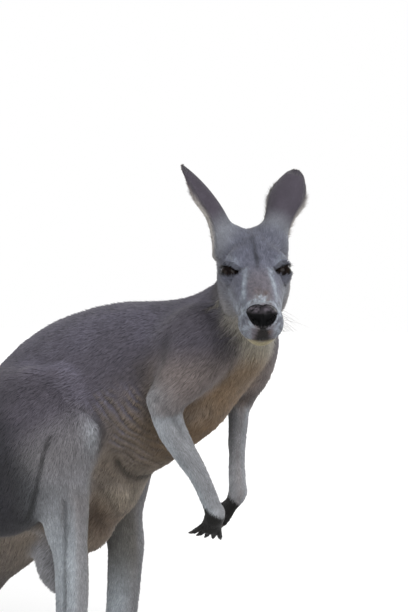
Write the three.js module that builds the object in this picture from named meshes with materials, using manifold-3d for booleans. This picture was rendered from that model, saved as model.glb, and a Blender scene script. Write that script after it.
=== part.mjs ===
// A life-size still model of a female red kangaroo that stands on its hind feet and tail,
// leans forward with its back arched and its hands hanging, and turns its head to its right.
// Millimetres. +X is the way the body faces, +Y its left side, +Z up, and the floor is z = 0.
//
// The whole body is one smooth field: limbs are tubes with elliptical sections along a curve,
// muscles are ellipsoids, and smooth unions melt them together. Each named part is the field's
// surface, meshed on its own grid and cut from its neighbours along thin gaps.
import * as THREE from "three";
import { SimplifyModifier } from "three/addons/modifiers/SimplifyModifier.js";
import Module from "manifold-3d";

const wasm = await Module();
wasm.setup();

// ---------------------------------------------------------------- driving dimensions
const GAP = 0.4; // between neighbouring parts
const FAR = 1e6;

// The head's own frame has its origin between the eyes, +x to the nose, +y left, +z up.
const HEAD_AT = [322, -86, 687];
const HEAD_YAW = -54; // from +X, so the face looks to the animal's right
const HEAD_PITCH = 28; // the muzzle points down
const HEAD_ROLL = 1.5;

const EYE = { at: [3, 31.5, 8], radius: 13.5 };

const TOES_OUT = 12; // degrees, at each foot
const STAGGER = 17; // the right foot stands ahead of the middle by this, the left behind
const KNEE_STAGGER = 21;

// ---------------------------------------------------------------- vectors and turns
const add = (a, b) => [a[0] + b[0], a[1] + b[1], a[2] + b[2]];
const sub = (a, b) => [a[0] - b[0], a[1] - b[1], a[2] - b[2]];
const scale = (a, k) => [a[0] * k, a[1] * k, a[2] * k];
const dot = (a, b) => a[0] * b[0] + a[1] * b[1] + a[2] * b[2];
const cross = (a, b) => [
  a[1] * b[2] - a[2] * b[1],
  a[2] * b[0] - a[0] * b[2],
  a[0] * b[1] - a[1] * b[0],
];
const length = (a) => Math.sqrt(dot(a, a));
const unit = (a) => scale(a, 1 / length(a));
const degrees = Math.PI / 180;

// A frame is an origin with three unit axes. toLocal takes a world point into it.
function turned(origin, yaw, pitch, roll) {
  const q = new THREE.Quaternion().setFromEuler(
    new THREE.Euler(roll * degrees, pitch * degrees, yaw * degrees, "ZYX"),
  );
  const axis = (x, y, z) => new THREE.Vector3(x, y, z).applyQuaternion(q).toArray();
  return { origin, axes: [axis(1, 0, 0), axis(0, 1, 0), axis(0, 0, 1)] };
}
const toLocal = (f, p) => {
  const d = sub(p, f.origin);
  return f.axes.map((a) => dot(a, d));
};
const toWorld = (f, p) =>
  f.axes.reduce((sum, a, i) => add(sum, scale(a, p[i])), f.origin);
const along = (f, v) => f.axes.reduce((sum, a, i) => add(sum, scale(a, v[i])), [0, 0, 0]);

// A frame at a point of another frame, turned inside it.
function within(frame, at, yaw, pitch) {
  const inner = turned([0, 0, 0], yaw, pitch, 0);
  return { origin: toWorld(frame, at), axes: inner.axes.map((v) => along(frame, v)) };
}

const headFrame = turned(HEAD_AT, HEAD_YAW, HEAD_PITCH, HEAD_ROLL);

// ---------------------------------------------------------------- distance fields
// Distance to an ellipsoid-like form of the radii r, from the offset d in its own axes.
function roundForm(d, r) {
  const k0 = Math.hypot(d[0] / r[0], d[1] / r[1], d[2] / r[2]);
  const k1 = Math.hypot(d[0] / r[0] ** 2, d[1] / r[1] ** 2, d[2] / r[2] ** 2);
  return k1 < 1e-9 ? -Math.min(...r) : (k0 * (k0 - 1)) / k1;
}

// Smooth union of two distances, melting over the length k.
function melt(a, b, k) {
  const h = Math.max(k - Math.abs(a - b), 0) / k;
  return Math.min(a, b) - h * h * k * 0.25;
}

// Catmull-Rom through rows of numbers, with steps new rows per span.
function through(rows, steps) {
  const out = [];
  const at = (i) => rows[Math.min(Math.max(i, 0), rows.length - 1)];
  for (let i = 0; i < rows.length - 1; i++) {
    for (let s = 0; s < steps; s++) {
      const t = s / steps;
      out.push(
        at(i).map((p1, j) => {
          const [p0, p2, p3] = [at(i - 1)[j], at(i + 1)[j], at(i + 2)[j]];
          const a = 2 * p1;
          const b = p2 - p0;
          const c = 2 * p0 - 5 * p1 + 4 * p2 - p3;
          const d = 3 * p1 - p0 - 3 * p2 + p3;
          return 0.5 * (a + b * t + c * t * t + d * t * t * t);
        }),
      );
    }
  }
  out.push(rows[rows.length - 1]);
  return out;
}

// A tube whose rows are [x, y, z, half width, half depth]. side is the way its width points.
function tube(rows, side, melting, steps = 4) {
  const rings = through(rows, steps).map((r) => ({
    at: r.slice(0, 3),
    wide: r[3],
    deep: r[4],
  }));
  const spans = rings.slice(1).map((ring, i) => {
    const from = rings[i];
    const run = sub(ring.at, from.at);
    const t = unit(run);
    const s = unit(sub(side, scale(t, dot(side, t))));
    return { from, to: ring, run, t, s, u: cross(t, s), reach: dot(run, run) };
  });
  const most = Math.max(...rings.map((r) => Math.max(r.wide, r.deep)));
  const box = boxOf(rings.map((r) => r.at), most);
  const distance = (p) => {
    let best = FAR;
    for (const { from, to, run, t, s, u, reach } of spans) {
      const d0 = sub(p, from.at);
      const k = Math.min(Math.max(dot(d0, run) / reach, 0), 1);
      const wide = from.wide + (to.wide - from.wide) * k;
      const deep = from.deep + (to.deep - from.deep) * k;
      const d = sub(d0, scale(run, k));
      const here = roundForm([dot(d, s), dot(d, u), dot(d, t)], [wide, deep, (wide + deep) / 2]);
      if (here < best) best = here;
    }
    return best;
  };
  return { distance, box, melting };
}

// An ellipsoid at a point of a frame, turned about the frame's z and pitched about its y.
function lump(frame, at, radii, melting, pitch = 0, yaw = 0) {
  const own = within(frame, at, yaw, pitch);
  return {
    distance: (p) => roundForm(toLocal(own, p), radii),
    box: boxOf([own.origin], Math.max(...radii)),
    melting,
  };
}

function boxOf(points, margin) {
  const low = [0, 1, 2].map((i) => Math.min(...points.map((p) => p[i])) - margin);
  const high = [0, 1, 2].map((i) => Math.max(...points.map((p) => p[i])) + margin);
  return { low, high };
}
const outside = ({ low, high }, p, by) =>
  p.some((v, i) => v < low[i] - by || v > high[i] + by);

// The shapes melted together in order. A shape far from p leaves the distance as it is.
function union(shapes) {
  return (p) => {
    let d = FAR;
    for (const s of shapes) {
      if (outside(s.box, p, 60)) continue;
      const here = s.distance(p);
      d = d === FAR ? here : melt(d, here, s.melting);
    }
    return d;
  };
}

// ---------------------------------------------------------------- the animal
const WORLD = turned([0, 0, 0], 0, 0, 0);
const Y = [0, 1, 0];

// x, z, half width, half height of the trunk's sections, from the neck's root to the tail's.
const trunkRows = [
  [213, 0, 600, 56, 63],
  [165, 0, 573, 73, 86],
  [105, 0, 549, 88, 110],
  [40, 0, 527, 100, 127],
  [-28, 0, 499, 110, 132],
  [-88, 0, 456, 110, 126],
  [-145, 0, 399, 100, 115],
  [-196, 0, 340, 82, 98],
];
const tailRows = [
  [-190, 0, 365, 80, 98],
  [-243, 0, 268, 62, 74],
  [-290, 0, 200, 50, 57],
  [-338, 0, 142, 44, 47],
  [-395, 0, 93, 39, 41],
  [-465, 0, 60, 35, 36],
  [-560, 0, 38, 30, 31],
  [-680, 0, 25, 25, 26],
  [-790, 0, 17, 19, 20],
  [-885, 0, 9, 11, 12],
];
const neckRows = [
  [200, 0, 596, 55, 60],
  [236, -3, 620, 49, 61],
  [266, -17, 652, 45, 55],
  [288, -38, 680, 42, 50],
];

const headRows = [
  [-76, 0, -2, 32, 30],
  [-56, 0, -5, 41, 44],
  [-26, 0, -9, 41, 54],
  [4, 0, -11, 36.5, 48],
  [34, 0, -13, 32, 41],
  [64, 0, -14, 27, 34],
  [88, 0, -16, 24, 29],
  [100, 0, -17, 18, 21],
].map((r) => [...toWorld(headFrame, r.slice(0, 3)), r[3], r[4]]);
const headSide = headFrame.axes[1];

const both = (make) => [make(1), make(-1)];
const headLumps = both((s) => [
  lump(headFrame, [5, 28.5 * s, 25], [21, 13, 9], 12, 12, 22 * s), // brow
  lump(headFrame, [-20, 32.5 * s, -14], [30, 10.5, 15], 14, 8, -6 * s), // cheek bone
  lump(headFrame, [-26, 28 * s, -38], [27, 14, 25], 16), // jaw muscle
  lump(headFrame, [88, 13 * s, -20], [19, 14, 15], 10), // upper lip
  lump(headFrame, [-52, 24 * s, 25], [20, 15, 15], 16), // root of the ear
]).flat();
const nosePad = lump(headFrame, [100, 0, -4], [13, 18.5, 16], 6, 12);
const chin = lump(headFrame, [84, 0, -38], [17, 14, 10], 10);

// Arms: the right hand hangs lower than the left.
const armRows = (s) => [
  [240, 56 * s, 604, 24, 36],
  [216, 82 * s, 564, 23, 34],
  [188, 96 * s, 524, 18, 25],
];
const wrist = (s) => (s < 0 ? [223, -27, 366] : [223, 30, 388]);
const forearmRows = (s) => {
  const w = wrist(s);
  return [
    [184, 96 * s, 526, 16, 22],
    [191, 84 * s, 484, 15, 20],
    [w[0] - 14, w[1] + 20 * s, w[2] + 56, 12, 14],
    [w[0] - 3, w[1] + 4 * s, w[2] + 14, 11.5, 13.5],
    [w[0] - 2, w[1], w[2] - 2, 11, 12.5],
  ];
};

// A hand's own frame: +x to the fingertips, +y across the palm, +z out of its back.
const HAND = { digits: 5, spread: 11, length: 20, claw: 15 };
const handWay = (s) => (s < 0 ? [-0.54, 0.33, -0.78] : [-0.62, 0.1, -0.78]);
function handFrame(s) {
  const x = unit(handWay(s));
  const across = [-0.84 * s, 0.54, 0];
  const y = unit(sub(across, scale(x, dot(across, x))));
  return { origin: wrist(s), axes: [x, y, cross(x, y)] };
}
const inFrame = (f, rows) => rows.map((r) => [...toWorld(f, r.slice(0, 3)), ...r.slice(3)]);
const palmRows = (s) =>
  inFrame(handFrame(s), [
    [-6, 0, 0, 12, 11],
    [10, 0, 0, 14, 9],
    [24, 0, -1, 14, 8],
  ]);
// Digit i runs from the palm's edge, fanned and curled; bend turns it towards the palm.
const digits = [...Array(HAND.digits).keys()];
const digitSlant = (i) => (i - (HAND.digits - 1) / 2) * HAND.spread;
function digitPoint(i, reach) {
  const a = digitSlant(i) * degrees;
  const curl = -0.011 * reach * reach;
  return [22 + reach * Math.cos(a), digitSlant(i) * 0.5 + reach * Math.sin(a), curl];
}
const digitRows = (i, s) =>
  inFrame(
    handFrame(s),
    [0, 0.5, 1].map((k) => [...digitPoint(i, k * HAND.length), 4.2 - 0.5 * k, 4.4 - 0.6 * k]),
  );
const handClawRows = (i, s) =>
  inFrame(
    handFrame(s),
    [-0.15, 0.3, 0.68, 1].map((k) => [
      ...digitPoint(i, HAND.length + k * HAND.claw),
      2.2 * (1 - Math.max(k, 0) ** 2),
      2.7 * (1 - Math.max(k, 0) ** 2),
    ]),
  );

const legX = (s) => -s * STAGGER;
const legRows = (s) => {
  const x = legX(s);
  const knee = -s * KNEE_STAGGER;
  return [
    [knee + 8, 108 * s, 462, 38, 40],
    [knee - 5, 104 * s, 425, 36, 48],
    [knee - 6, 98 * s, 385, 32, 46],
    [knee - 3, 92 * s, 340, 25, 37],
    [x + 6, 88 * s, 290, 20, 30],
    [x + 4, 85 * s, 220, 18, 27],
    [x - 2, 83 * s, 150, 17, 25],
    [x - 8, 82 * s, 100, 18, 26],
    [x - 12, 82 * s, 62, 20, 30],
  ];
};
const thighRows = (s) => {
  const x = legX(s) * 0.6;
  return [
    [x - 150, 70 * s, 425, 50, 95],
    [x - 95, 92 * s, 445, 56, 112],
    [x - 40, 106 * s, 466, 52, 92],
    [x + 12, 110 * s, 468, 42, 56],
  ];
};
const footFrame = (s) => turned([legX(s) - 12, 82 * s, 0], s * TOES_OUT, 0, 0);
const inFoot = (s, rows) =>
  inFrame(
    footFrame(s),
    rows.map(([x, y, ...rest]) => [x, y * s, ...rest]),
  );
const soleRows = (s) =>
  inFoot(s, [
    [-38, 0, 44, 15, 20],
    [-14, 0, 36, 20, 32],
    [30, 0, 28, 22, 27],
    [90, 0, 19, 22, 20],
    [150, 0, 14, 23, 16],
    [190, 3, 12, 20, 14],
  ]);
const bigToeRows = (s) =>
  inFoot(s, [
    [170, 4, 13, 14, 14],
    [215, 5, 12, 13, 13],
    [256, 6, 10, 11, 11],
  ]);
const outerToeRows = (s) =>
  inFoot(s, [
    [140, 20, 10, 10, 12],
    [175, 27, 9, 9, 10],
    [204, 30, 8, 8, 9],
  ]);
const innerToesRows = (s) =>
  inFoot(s, [
    [130, -16, 11, 8, 11],
    [165, -19, 10, 7, 9],
    [196, -19, 8, 6.5, 7.5],
  ]);

// Each foot's claws: the big toe's, the outer toe's, and the pair on the two joined inner toes.
const footClawRows = (s) => ({
  big: inFoot(s, [
    [246, 6, 11, 6.2, 7],
    [266, 6, 11.5, 5.2, 6],
    [282, 6, 8.5, 3.2, 3.8],
    [295, 6, 3.5, 0, 0],
  ]),
  outer: inFoot(s, [
    [198, 30, 9, 3.8, 4.3],
    [210, 31, 8.5, 3.2, 3.7],
    [222, 32, 6, 2, 2.4],
    [231, 32.5, 3, 0, 0],
  ]),
  inner: inFoot(s, [
    [191, -21.5, 8.5, 2, 3],
    [200, -22, 8.5, 1.9, 2.8],
    [209, -22.5, 6.5, 1.4, 2],
    [217, -23, 3.5, 0, 0],
  ]),
  second: inFoot(s, [
    [191, -16.5, 8.5, 2, 3],
    [200, -16, 8.5, 1.9, 2.8],
    [209, -15.5, 6.5, 1.4, 2],
    [217, -15, 3.5, 0, 0],
  ]),
});

const pouch = [
  lump(WORLD, [8, 0, 394], [60, 62, 58], 34, 40),
  lump(WORLD, [-36, 0, 340], [58, 54, 48], 30, 40),
  lump(WORLD, [-74, 0, 275], [30, 34, 52], 22, -12),
];

const trunk = tube(trunkRows, Y, 30);
const tail = tube(tailRows, Y, 30);
const neck = tube(neckRows, headSide.map((v, i) => (v + Y[i]) / 2), 40);
const skull = tube(headRows, headSide, 26);
const core = [
  trunk,
  tail,
  neck,
  skull,
  ...headLumps,
  nosePad,
  chin,
  lump(WORLD, [150, 0, 531], [60, 50, 44], 36, 35), // breast
];
const sides = [1, -1];
const bySide = (make) => Object.fromEntries(sides.map((s) => [s, make(s)]));
const armShapes = bySide((s) => [
  lump(WORLD, [205, 62 * s, 590], [46, 24, 62], 30, 25), // shoulder
  tube(armRows(s), [0.3, s, 0], 24),
  tube(forearmRows(s), unit([0.6, s, 0]), 12),
  tube(palmRows(s), handFrame(s).axes[1], 6),
  ...digits.map((i) => tube(digitRows(i, s), handFrame(s).axes[1], 2, 2)),
]);
const legShapes = bySide((s) => [
  tube(thighRows(s), Y, 34),
  lump(WORLD, [-118 + legX(s) * 0.6, 88 * s, 385], [62, 44, 66], 26, 30), // hamstrings
  tube(legRows(s), footFrame(s).axes[1], 20),
  tube(soleRows(s), footFrame(s).axes[1], 14),
  tube(bigToeRows(s), footFrame(s).axes[1], 8),
  tube(outerToeRows(s), footFrame(s).axes[1], 5),
  tube(innerToesRows(s), footFrame(s).axes[1], 5),
]);
const limbs = sides.flatMap((s) => [...armShapes[s], ...legShapes[s]]);
const shapes = [...core, ...limbs, ...pouch];
const body = union(shapes);

// ---------------------------------------------------------------- ears
// An ear is a leaf rolled into a cup: an arc that swings round the ear's axis, wide and nearly
// closed at the root, flatter and narrower at the tip. Rows are
// [share of the length, half of the arc's length, half of its angle in degrees].
const EAR = { root: [-49, 20, 32], length: 119, thick: 4.6, bend: 9 };
const earRows = [
  [0, 51, 150],
  [0.16, 41, 125],
  [0.36, 33, 98],
  [0.58, 34, 77],
  [0.76, 27, 63],
  [0.89, 18, 50],
  [0.96, 12, 42],
  [1, 5, 38],
];
// The way each ear points and the way its back faces, as shares of [forwards, left, up].
const earPoints = (s) => (s < 0 ? [0.03, -0.58, 0.814] : [-0.49, 0.375, 0.785]);
const earBacks = (s) => (s < 0 ? [0.2, 0.98, 0] : [0.95, -0.3, 0]);
function earFrame(s) {
  const level = (v) => {
    const [c, k] = [Math.cos(HEAD_PITCH * degrees), Math.sin(HEAD_PITCH * degrees)];
    return along(headFrame, [c * v[0] - k * v[2], v[1], k * v[0] + c * v[2]]);
  };
  const x = unit(level(earPoints(s)));
  const z0 = level(earBacks(s));
  const z = unit(sub(z0, scale(x, dot(z0, x))));
  return {
    origin: toWorld(headFrame, [EAR.root[0], EAR.root[1] * s, EAR.root[2]]),
    axes: [x, cross(z, x), z],
  };
}
// A point of the ear's shell: share t of the length, u from -1 to 1 across, depth from the back.
function earPoint(row, u, depth) {
  const [t, arc, angle] = row;
  const radius = (arc / angle) * (1 / degrees);
  const a = u * angle * degrees;
  const out = radius - depth * Math.min(1, (1 - Math.abs(u) ** 4) * 0.75 + 0.25);
  return [
    t * EAR.length,
    out * Math.sin(a),
    out * Math.cos(a) - radius + EAR.bend * (1 - (2 * t - 1) ** 2),
  ];
}
function earNet(s) {
  const frame = earFrame(s);
  const across = 6;
  const rings = through(earRows, 1).map((row) => {
    const us = [...Array(across + 1).keys()].map((i) => (2 * i) / across - 1);
    const outer = us.map((u) => earPoint(row, u, 0));
    const inner = us.map((u) => earPoint(row, u, EAR.thick * (1 - 0.6 * row[0]))).reverse();
    return [...outer, ...inner].map((p) => toWorld(frame, p));
  });
  const net = loft(rings);
  const last = (rings.length - 1) * rings[0].length;
  const size = rings[0].length;
  for (let i = 0; i < across; i++) {
    const [a, b, c, d] = [i, i + 1, size - 2 - i, size - 1 - i];
    net.triangles.push(a, b, c, a, c, d);
    net.triangles.push(last + a, last + c, last + b, last + a, last + d, last + c);
  }
  return net;
}

// ---------------------------------------------------------------- nets from rings
// Triangles that join each ring of points to the next. The ends stay open.
function loft(rings) {
  const size = rings[0].length;
  const triangles = [];
  for (let i = 0; i < rings.length - 1; i++)
    for (let j = 0; j < size; j++) {
      const k = (j + 1) % size;
      const [a, b] = [i * size + j, i * size + k];
      triangles.push(a, a + size, b + size, a, b + size, b);
    }
  return { points: rings.flat(), triangles };
}
// A claw: rings along rows like a tube's, closed at the root and drawn to a point at the end.
function claw(rows, side) {
  const sides = 6;
  const rings = rows.slice(0, -1).map((row, i) => {
    const t = unit(sub(rows[i + 1].slice(0, 3), row.slice(0, 3)));
    const s = unit(sub(side, scale(t, dot(side, t))));
    const u = cross(t, s);
    return [...Array(sides).keys()].map((j) => {
      const a = (j / sides) * 2 * Math.PI;
      const off = add(scale(s, row[3] * Math.cos(a)), scale(u, -row[4] * Math.sin(a)));
      return add(row.slice(0, 3), off);
    });
  });
  const net = loft(rings);
  const root = net.points.length;
  net.points.push(rows[0].slice(0, 3), rows[rows.length - 1].slice(0, 3));
  const last = (rings.length - 1) * sides;
  for (let j = 0; j < sides; j++) {
    const k = (j + 1) % sides;
    net.triangles.push(root, j, k);
    net.triangles.push(root + 1, last + k, last + j);
  }
  return net;
}

// ---------------------------------------------------------------- nets from fields
// Each grid cell that the surface crosses gets one point per sheet of surface inside it, in the
// middle of that sheet's crossings. Each crossed grid edge gets one quad. The grid lies in the
// frame's axes, from low to high, and the surface is closed where it leaves the grid.
const CORNERS = [0, 1, 2, 3, 4, 5, 6, 7].map((c) => [c & 1, (c >> 1) & 1, c >> 2]);
const EDGES = [];
for (let a = 0; a < 8; a++)
  for (const bit of [1, 2, 4]) if (!(a & bit)) EDGES.push([a, a | bit]);
const FACES = [];
for (const axis of [1, 2, 4])
  for (const side of [0, axis]) {
    const [p, q] = [1, 2, 4].filter((bit) => bit !== axis);
    FACES.push([side, side | p, side | p | q, side | q]);
  }
const edgeOf = (a, b) => EDGES.findIndex(([p, q]) => p === Math.min(a, b) && q === Math.max(a, b));

// The sheets of surface in a cell, as lists of its crossed edges. Inside corners that only touch
// across a face's diagonal stay apart.
function sheets(inside) {
  const group = EDGES.map((_, i) => i);
  const root = (i) => (group[i] === i ? i : root(group[i]));
  const join = (i, j) => {
    group[root(i)] = root(j);
  };
  for (const face of FACES) {
    const rim = face.map((corner, i) => [corner, face[(i + 1) % 4]]);
    const crossed = rim.filter(([a, b]) => inside[a] !== inside[b]).map(([a, b]) => edgeOf(a, b));
    if (crossed.length === 2) join(crossed[0], crossed[1]);
    if (crossed.length === 4) {
      const first = inside[face[1]] ? 0 : 1;
      join(crossed[first], crossed[first + 1]);
      join(crossed[(first + 2) % 4], crossed[(first + 3) % 4]);
    }
  }
  const found = new Map();
  EDGES.forEach(([a, b], i) => {
    if (inside[a] === inside[b]) return;
    found.set(root(i), [...(found.get(root(i)) ?? []), i]);
  });
  return [...found.values()];
}

function net(field, frame, low, high, cell) {
  const n = low.map((v, i) => Math.max(Math.ceil((high[i] - v) / cell[i]) + 1, 3));
  const place = (i, j, k) => toWorld(frame, [i, j, k].map((v, m) => low[m] + v * cell[m]));
  const id = (i, j, k) => (k * n[1] + j) * n[0] + i;
  const values = new Float64Array(n[0] * n[1] * n[2]);
  for (let k = 0; k < n[2]; k++)
    for (let j = 0; j < n[1]; j++)
      for (let i = 0; i < n[0]; i++) {
        const rim = !i || !j || !k || i === n[0] - 1 || j === n[1] - 1 || k === n[2] - 1;
        values[id(i, j, k)] = rim ? cell[0] / 2 : field(place(i, j, k));
      }
  const points = [];
  const pointOf = new Map();
  for (let k = 0; k < n[2] - 1; k++)
    for (let j = 0; j < n[1] - 1; j++)
      for (let i = 0; i < n[0] - 1; i++) {
        const v = CORNERS.map(([a, b, c]) => values[id(i + a, j + b, k + c)]);
        const inside = v.map((x) => x < 0);
        if (inside.every((x) => x) || !inside.some((x) => x)) continue;
        for (const sheet of sheets(inside)) {
          let sum = [0, 0, 0];
          for (const e of sheet) {
            const [a, b] = EDGES[e];
            const t = v[a] / (v[a] - v[b]);
            sum = sum.map((x, m) => x + CORNERS[a][m] + (CORNERS[b][m] - CORNERS[a][m]) * t);
            pointOf.set(id(i, j, k) * 12 + e, points.length);
          }
          const middle = scale(sum, 1 / sheet.length);
          points.push(place(i + middle[0], j + middle[1], k + middle[2]));
        }
      }
  const triangles = [];
  const step = [1, n[0], n[0] * n[1]];
  const bits = [1, 2, 4];
  for (let k = 0; k < n[2] - 1; k++)
    for (let j = 0; j < n[1] - 1; j++)
      for (let i = 0; i < n[0] - 1; i++) {
        const here = id(i, j, k);
        for (let m = 0; m < 3; m++) {
          const [p, q] = [(m + 1) % 3, (m + 2) % 3];
          if (![i, j, k][p] || ![i, j, k][q]) continue;
          if (values[here] < 0 === values[here + step[m]] < 0) continue;
          const round = [[1, 1], [0, 1], [0, 0], [1, 0]];
          const quad = round.map(([a, b]) => {
            const corner = a * bits[p] + b * bits[q];
            const around = here - a * step[p] - b * step[q];
            return pointOf.get(around * 12 + edgeOf(corner, corner | bits[m]));
          });
          if (values[here] >= 0) quad.reverse();
          triangles.push(quad[0], quad[1], quad[2], quad[0], quad[2], quad[3]);
        }
      }
  return { points, triangles };
}

// The same net grown outwards, so that each face moves at least the given distance.
function grown({ points, triangles }, by) {
  const around = points.map(() => []);
  for (let i = 0; i < triangles.length; i += 3) {
    const [a, b, c] = triangles.slice(i, i + 3);
    const normal = cross(sub(points[b], points[a]), sub(points[c], points[a]));
    if (length(normal) > 1e-9) for (const v of [a, b, c]) around[v].push(unit(normal));
  }
  const move = (p, i) => {
    const way = unit(around[i].reduce(add));
    const least = Math.min(...around[i].map((normal) => dot(normal, way)));
    return add(p, scale(way, by / Math.max(least, 0.3)));
  };
  return { points: points.map(move), triangles };
}

// ---------------------------------------------------------------- solids
function solid({ points, triangles }) {
  const mesh = new wasm.Mesh({
    numProp: 3,
    vertProperties: new Float32Array(points.flat()),
    triVerts: new Uint32Array(triangles),
  });
  mesh.merge();
  return new wasm.Manifold(mesh);
}
function netFrom(geometry) {
  const { position } = geometry.attributes;
  const points = [...Array(position.count).keys()].map((i) =>
    new THREE.Vector3().fromBufferAttribute(position, i).toArray(),
  );
  return { points, triangles: [...geometry.index.array] };
}
const solidOf = (geometry) => solid(netFrom(geometry));
// The larger piece of a solid: what a cut leaves loose beside it is dropped.
const main = (m) => m.decompose().sort((a, b) => b.volume() - a.volume())[0];

// A box that fills everything on the far side of a plane.
function beyond(point, normal) {
  const size = 4000;
  const q = new THREE.Quaternion().setFromUnitVectors(
    new THREE.Vector3(0, 0, 1),
    new THREE.Vector3(...unit(normal)),
  );
  const box = new THREE.BoxGeometry(size, size, size).translate(0, 0, size / 2);
  return solidOf(box.applyQuaternion(q).translate(...point));
}
// A plane that parts two neighbours: front drops what lies ahead of it, back what lies behind.
function parting(point, normal) {
  const n = unit(normal);
  return {
    front: beyond(add(point, scale(n, -GAP / 2)), n),
    back: beyond(add(point, scale(n, GAP / 2)), scale(n, -1)),
  };
}
const floor = beyond([0, 0, 0], [0, 0, -1]);

// A ball or an ellipsoid at a point of a frame, pitched about the frame's y.
function ball(frame, at, radii, pitch, across, down) {
  const own = within(frame, at, 0, pitch);
  const m = new THREE.Matrix4().makeBasis(...own.axes.map((a) => new THREE.Vector3(...a)));
  const form = new THREE.SphereGeometry(1, across, down).scale(...radii);
  return solidOf(form.applyMatrix4(m).translate(...own.origin));
}

// A net with a share of its points taken out, where it is flattest.
const THINNING = 0.8;
async function thinned({ points, triangles }, share) {
  const geometry = new THREE.BufferGeometry();
  geometry.setAttribute("position", new THREE.Float32BufferAttribute(points.flat(), 3));
  geometry.setIndex(triangles);
  const kept = await new SimplifyModifier().modify(geometry, Math.floor(points.length * share));
  return netFrom(kept);
}
const thin = (...grid) => thinned(net(...grid), THINNING);
const flesh = async (frame, low, high, cell) => solid(await thin(body, frame, low, high, cell));
const less = (m, ...cuts) => main(cuts.reduce((left, cut) => left.subtract(cut), m));

// ---------------------------------------------------------------- regions
// A limb's region is where the limb's own shapes are nearer than all the others. Its net stays
// a cell outside the skin, so that its rounded edges miss it. The limb is what the region holds
// of the body, and the trunk is what a slightly grown region leaves.
const nearest = (list) => (p) => Math.min(...list.map((s) => s.distance(p)));
async function region(own, low, high, cell) {
  const mine = nearest(own);
  const others = nearest(shapes.filter((s) => !own.includes(s)));
  const field = (p) => {
    const skin = body(p) - cell;
    return skin > 20 ? skin : Math.max(mine(p) - others(p), skin);
  };
  const form = await thin(field, WORLD, low, high, [cell, cell, cell]);
  return { held: solid(form), cleared: solid(grown(form, GAP)) };
}
const spanY = (s, inner, outer) => (s > 0 ? [inner, outer] : [-outer, -inner]);

const arm = {};
const leg = {};
for (const s of sides) {
  const [armLow, armHigh] = spanY(s, -12, 150);
  arm[s] = await region(armShapes[s], [130, armLow, 290], [300, armHigh, 690], 14);
  const [legLow, legHigh] = spanY(s, 4, 190);
  leg[s] = await region(legShapes[s], [-290, legLow, -30], [310, legHigh, 620], 19);
}
const bag = await region(pouch, [-150, -110, 190], [110, 110, 490], 17);

// Where neighbours part along the trunk, the tail and the limbs.
const atHead = parting(toWorld(headFrame, [-58, 0, -36]), along(headFrame, [0.85, 0, 0.53]));
const atNeck = parting([228, 0, 614], [0.66, 0, 0.75]);
const atChest = parting([58, 0, 530], [0.95, 0, 0.3]);
const atLoin = parting([-118, 0, 430], [0.78, 0, 0.62]);
const atRump = parting([-222, 0, 300], [0.6, 0, 0.8]);
const atTail = parting([-395, 0, 93], [0.85, 0, 0.5]);
const atTip = parting([-650, 0, 27], [1, 0, 0]);
const atElbow = bySide((s) => parting([188, 96 * s, 512], [-0.1, 0, 1]));
const atWrist = bySide((s) => {
  const frame = handFrame(s);
  return parting(toWorld(frame, [2, 0, 0]), scale(frame.axes[0], -1));
});
const atKnee = bySide((s) => parting([legX(s), 0, 392], [-0.74, 0, 0.675]));
const atAnkle = bySide((s) => parting([0, 0, 84], [0.1, 0, 1]));

// A frame whose x runs along a limb from one point to another.
function limbFrame(from, to) {
  const x = unit(sub(to, from));
  const y = unit(sub(Y, scale(x, dot(Y, x))));
  return { origin: from, axes: [x, y, cross(x, y)] };
}

// ---------------------------------------------------------------- nodes
const COLOURS = {
  coat: 0x8f837b,
  pale: 0xc9c1b6,
  dark: 0x2b2625,
  nose: 0x171414,
  horn: 0x1c1918,
  eye: 0x120c08,
};
const animal = new THREE.Group();
function node(name, form, colour) {
  const { vertProperties, triVerts } = form.getMesh();
  const geometry = new THREE.BufferGeometry();
  geometry.setAttribute("position", new THREE.BufferAttribute(new Float32Array(vertProperties), 3));
  geometry.setIndex([...triVerts]);
  geometry.computeVertexNormals();
  const material = new THREE.MeshStandardMaterial({ color: COLOURS[colour], roughness: 0.8 });
  const mesh = new THREE.Mesh(geometry, material);
  mesh.name = name;
  animal.add(mesh);
}
const side = (s) => (s > 0 ? "left" : "right");

// Head, eyes, nose and ears.
const headNet = await thin(body, headFrame, [-124, -66, -86], [128, 66, 68], [10, 9.5, 9.5]);
const eyeAt = (s) => [EYE.at[0], EYE.at[1] * s, EYE.at[2]];
const eyeball = (s, extra) => {
  const r = EYE.radius + extra;
  return ball(headFrame, eyeAt(s), [r, r, r], 0, 14, 9);
};
const noseRoom = (extra) => {
  const [half, wide] = [15 + extra, 17 + extra];
  return ball(headFrame, [102, 0, -2], [half, wide, half], 12, 12, 8);
};
const sockets = sides.map((s) => eyeball(s, GAP));
const headCuts = [atHead.back, noseRoom(GAP), ...sockets, ...sides.map((s) => arm[s].cleared)];
node("head", less(solid(headNet), ...headCuts), "coat");
const noseFlesh = await flesh(headFrame, [78, -28, -28], [124, 28, 24], [5, 5, 5]);
node("nose", main(noseFlesh.intersect(noseRoom(0))), "nose");
const aroundHead = solid(grown(headNet, GAP));
for (const s of sides) {
  node(`eye_${side(s)}`, eyeball(s, 0), "eye");
  node(`ear_${side(s)}`, less(solid(earNet(s)), aroundHead), "coat");
}

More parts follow.
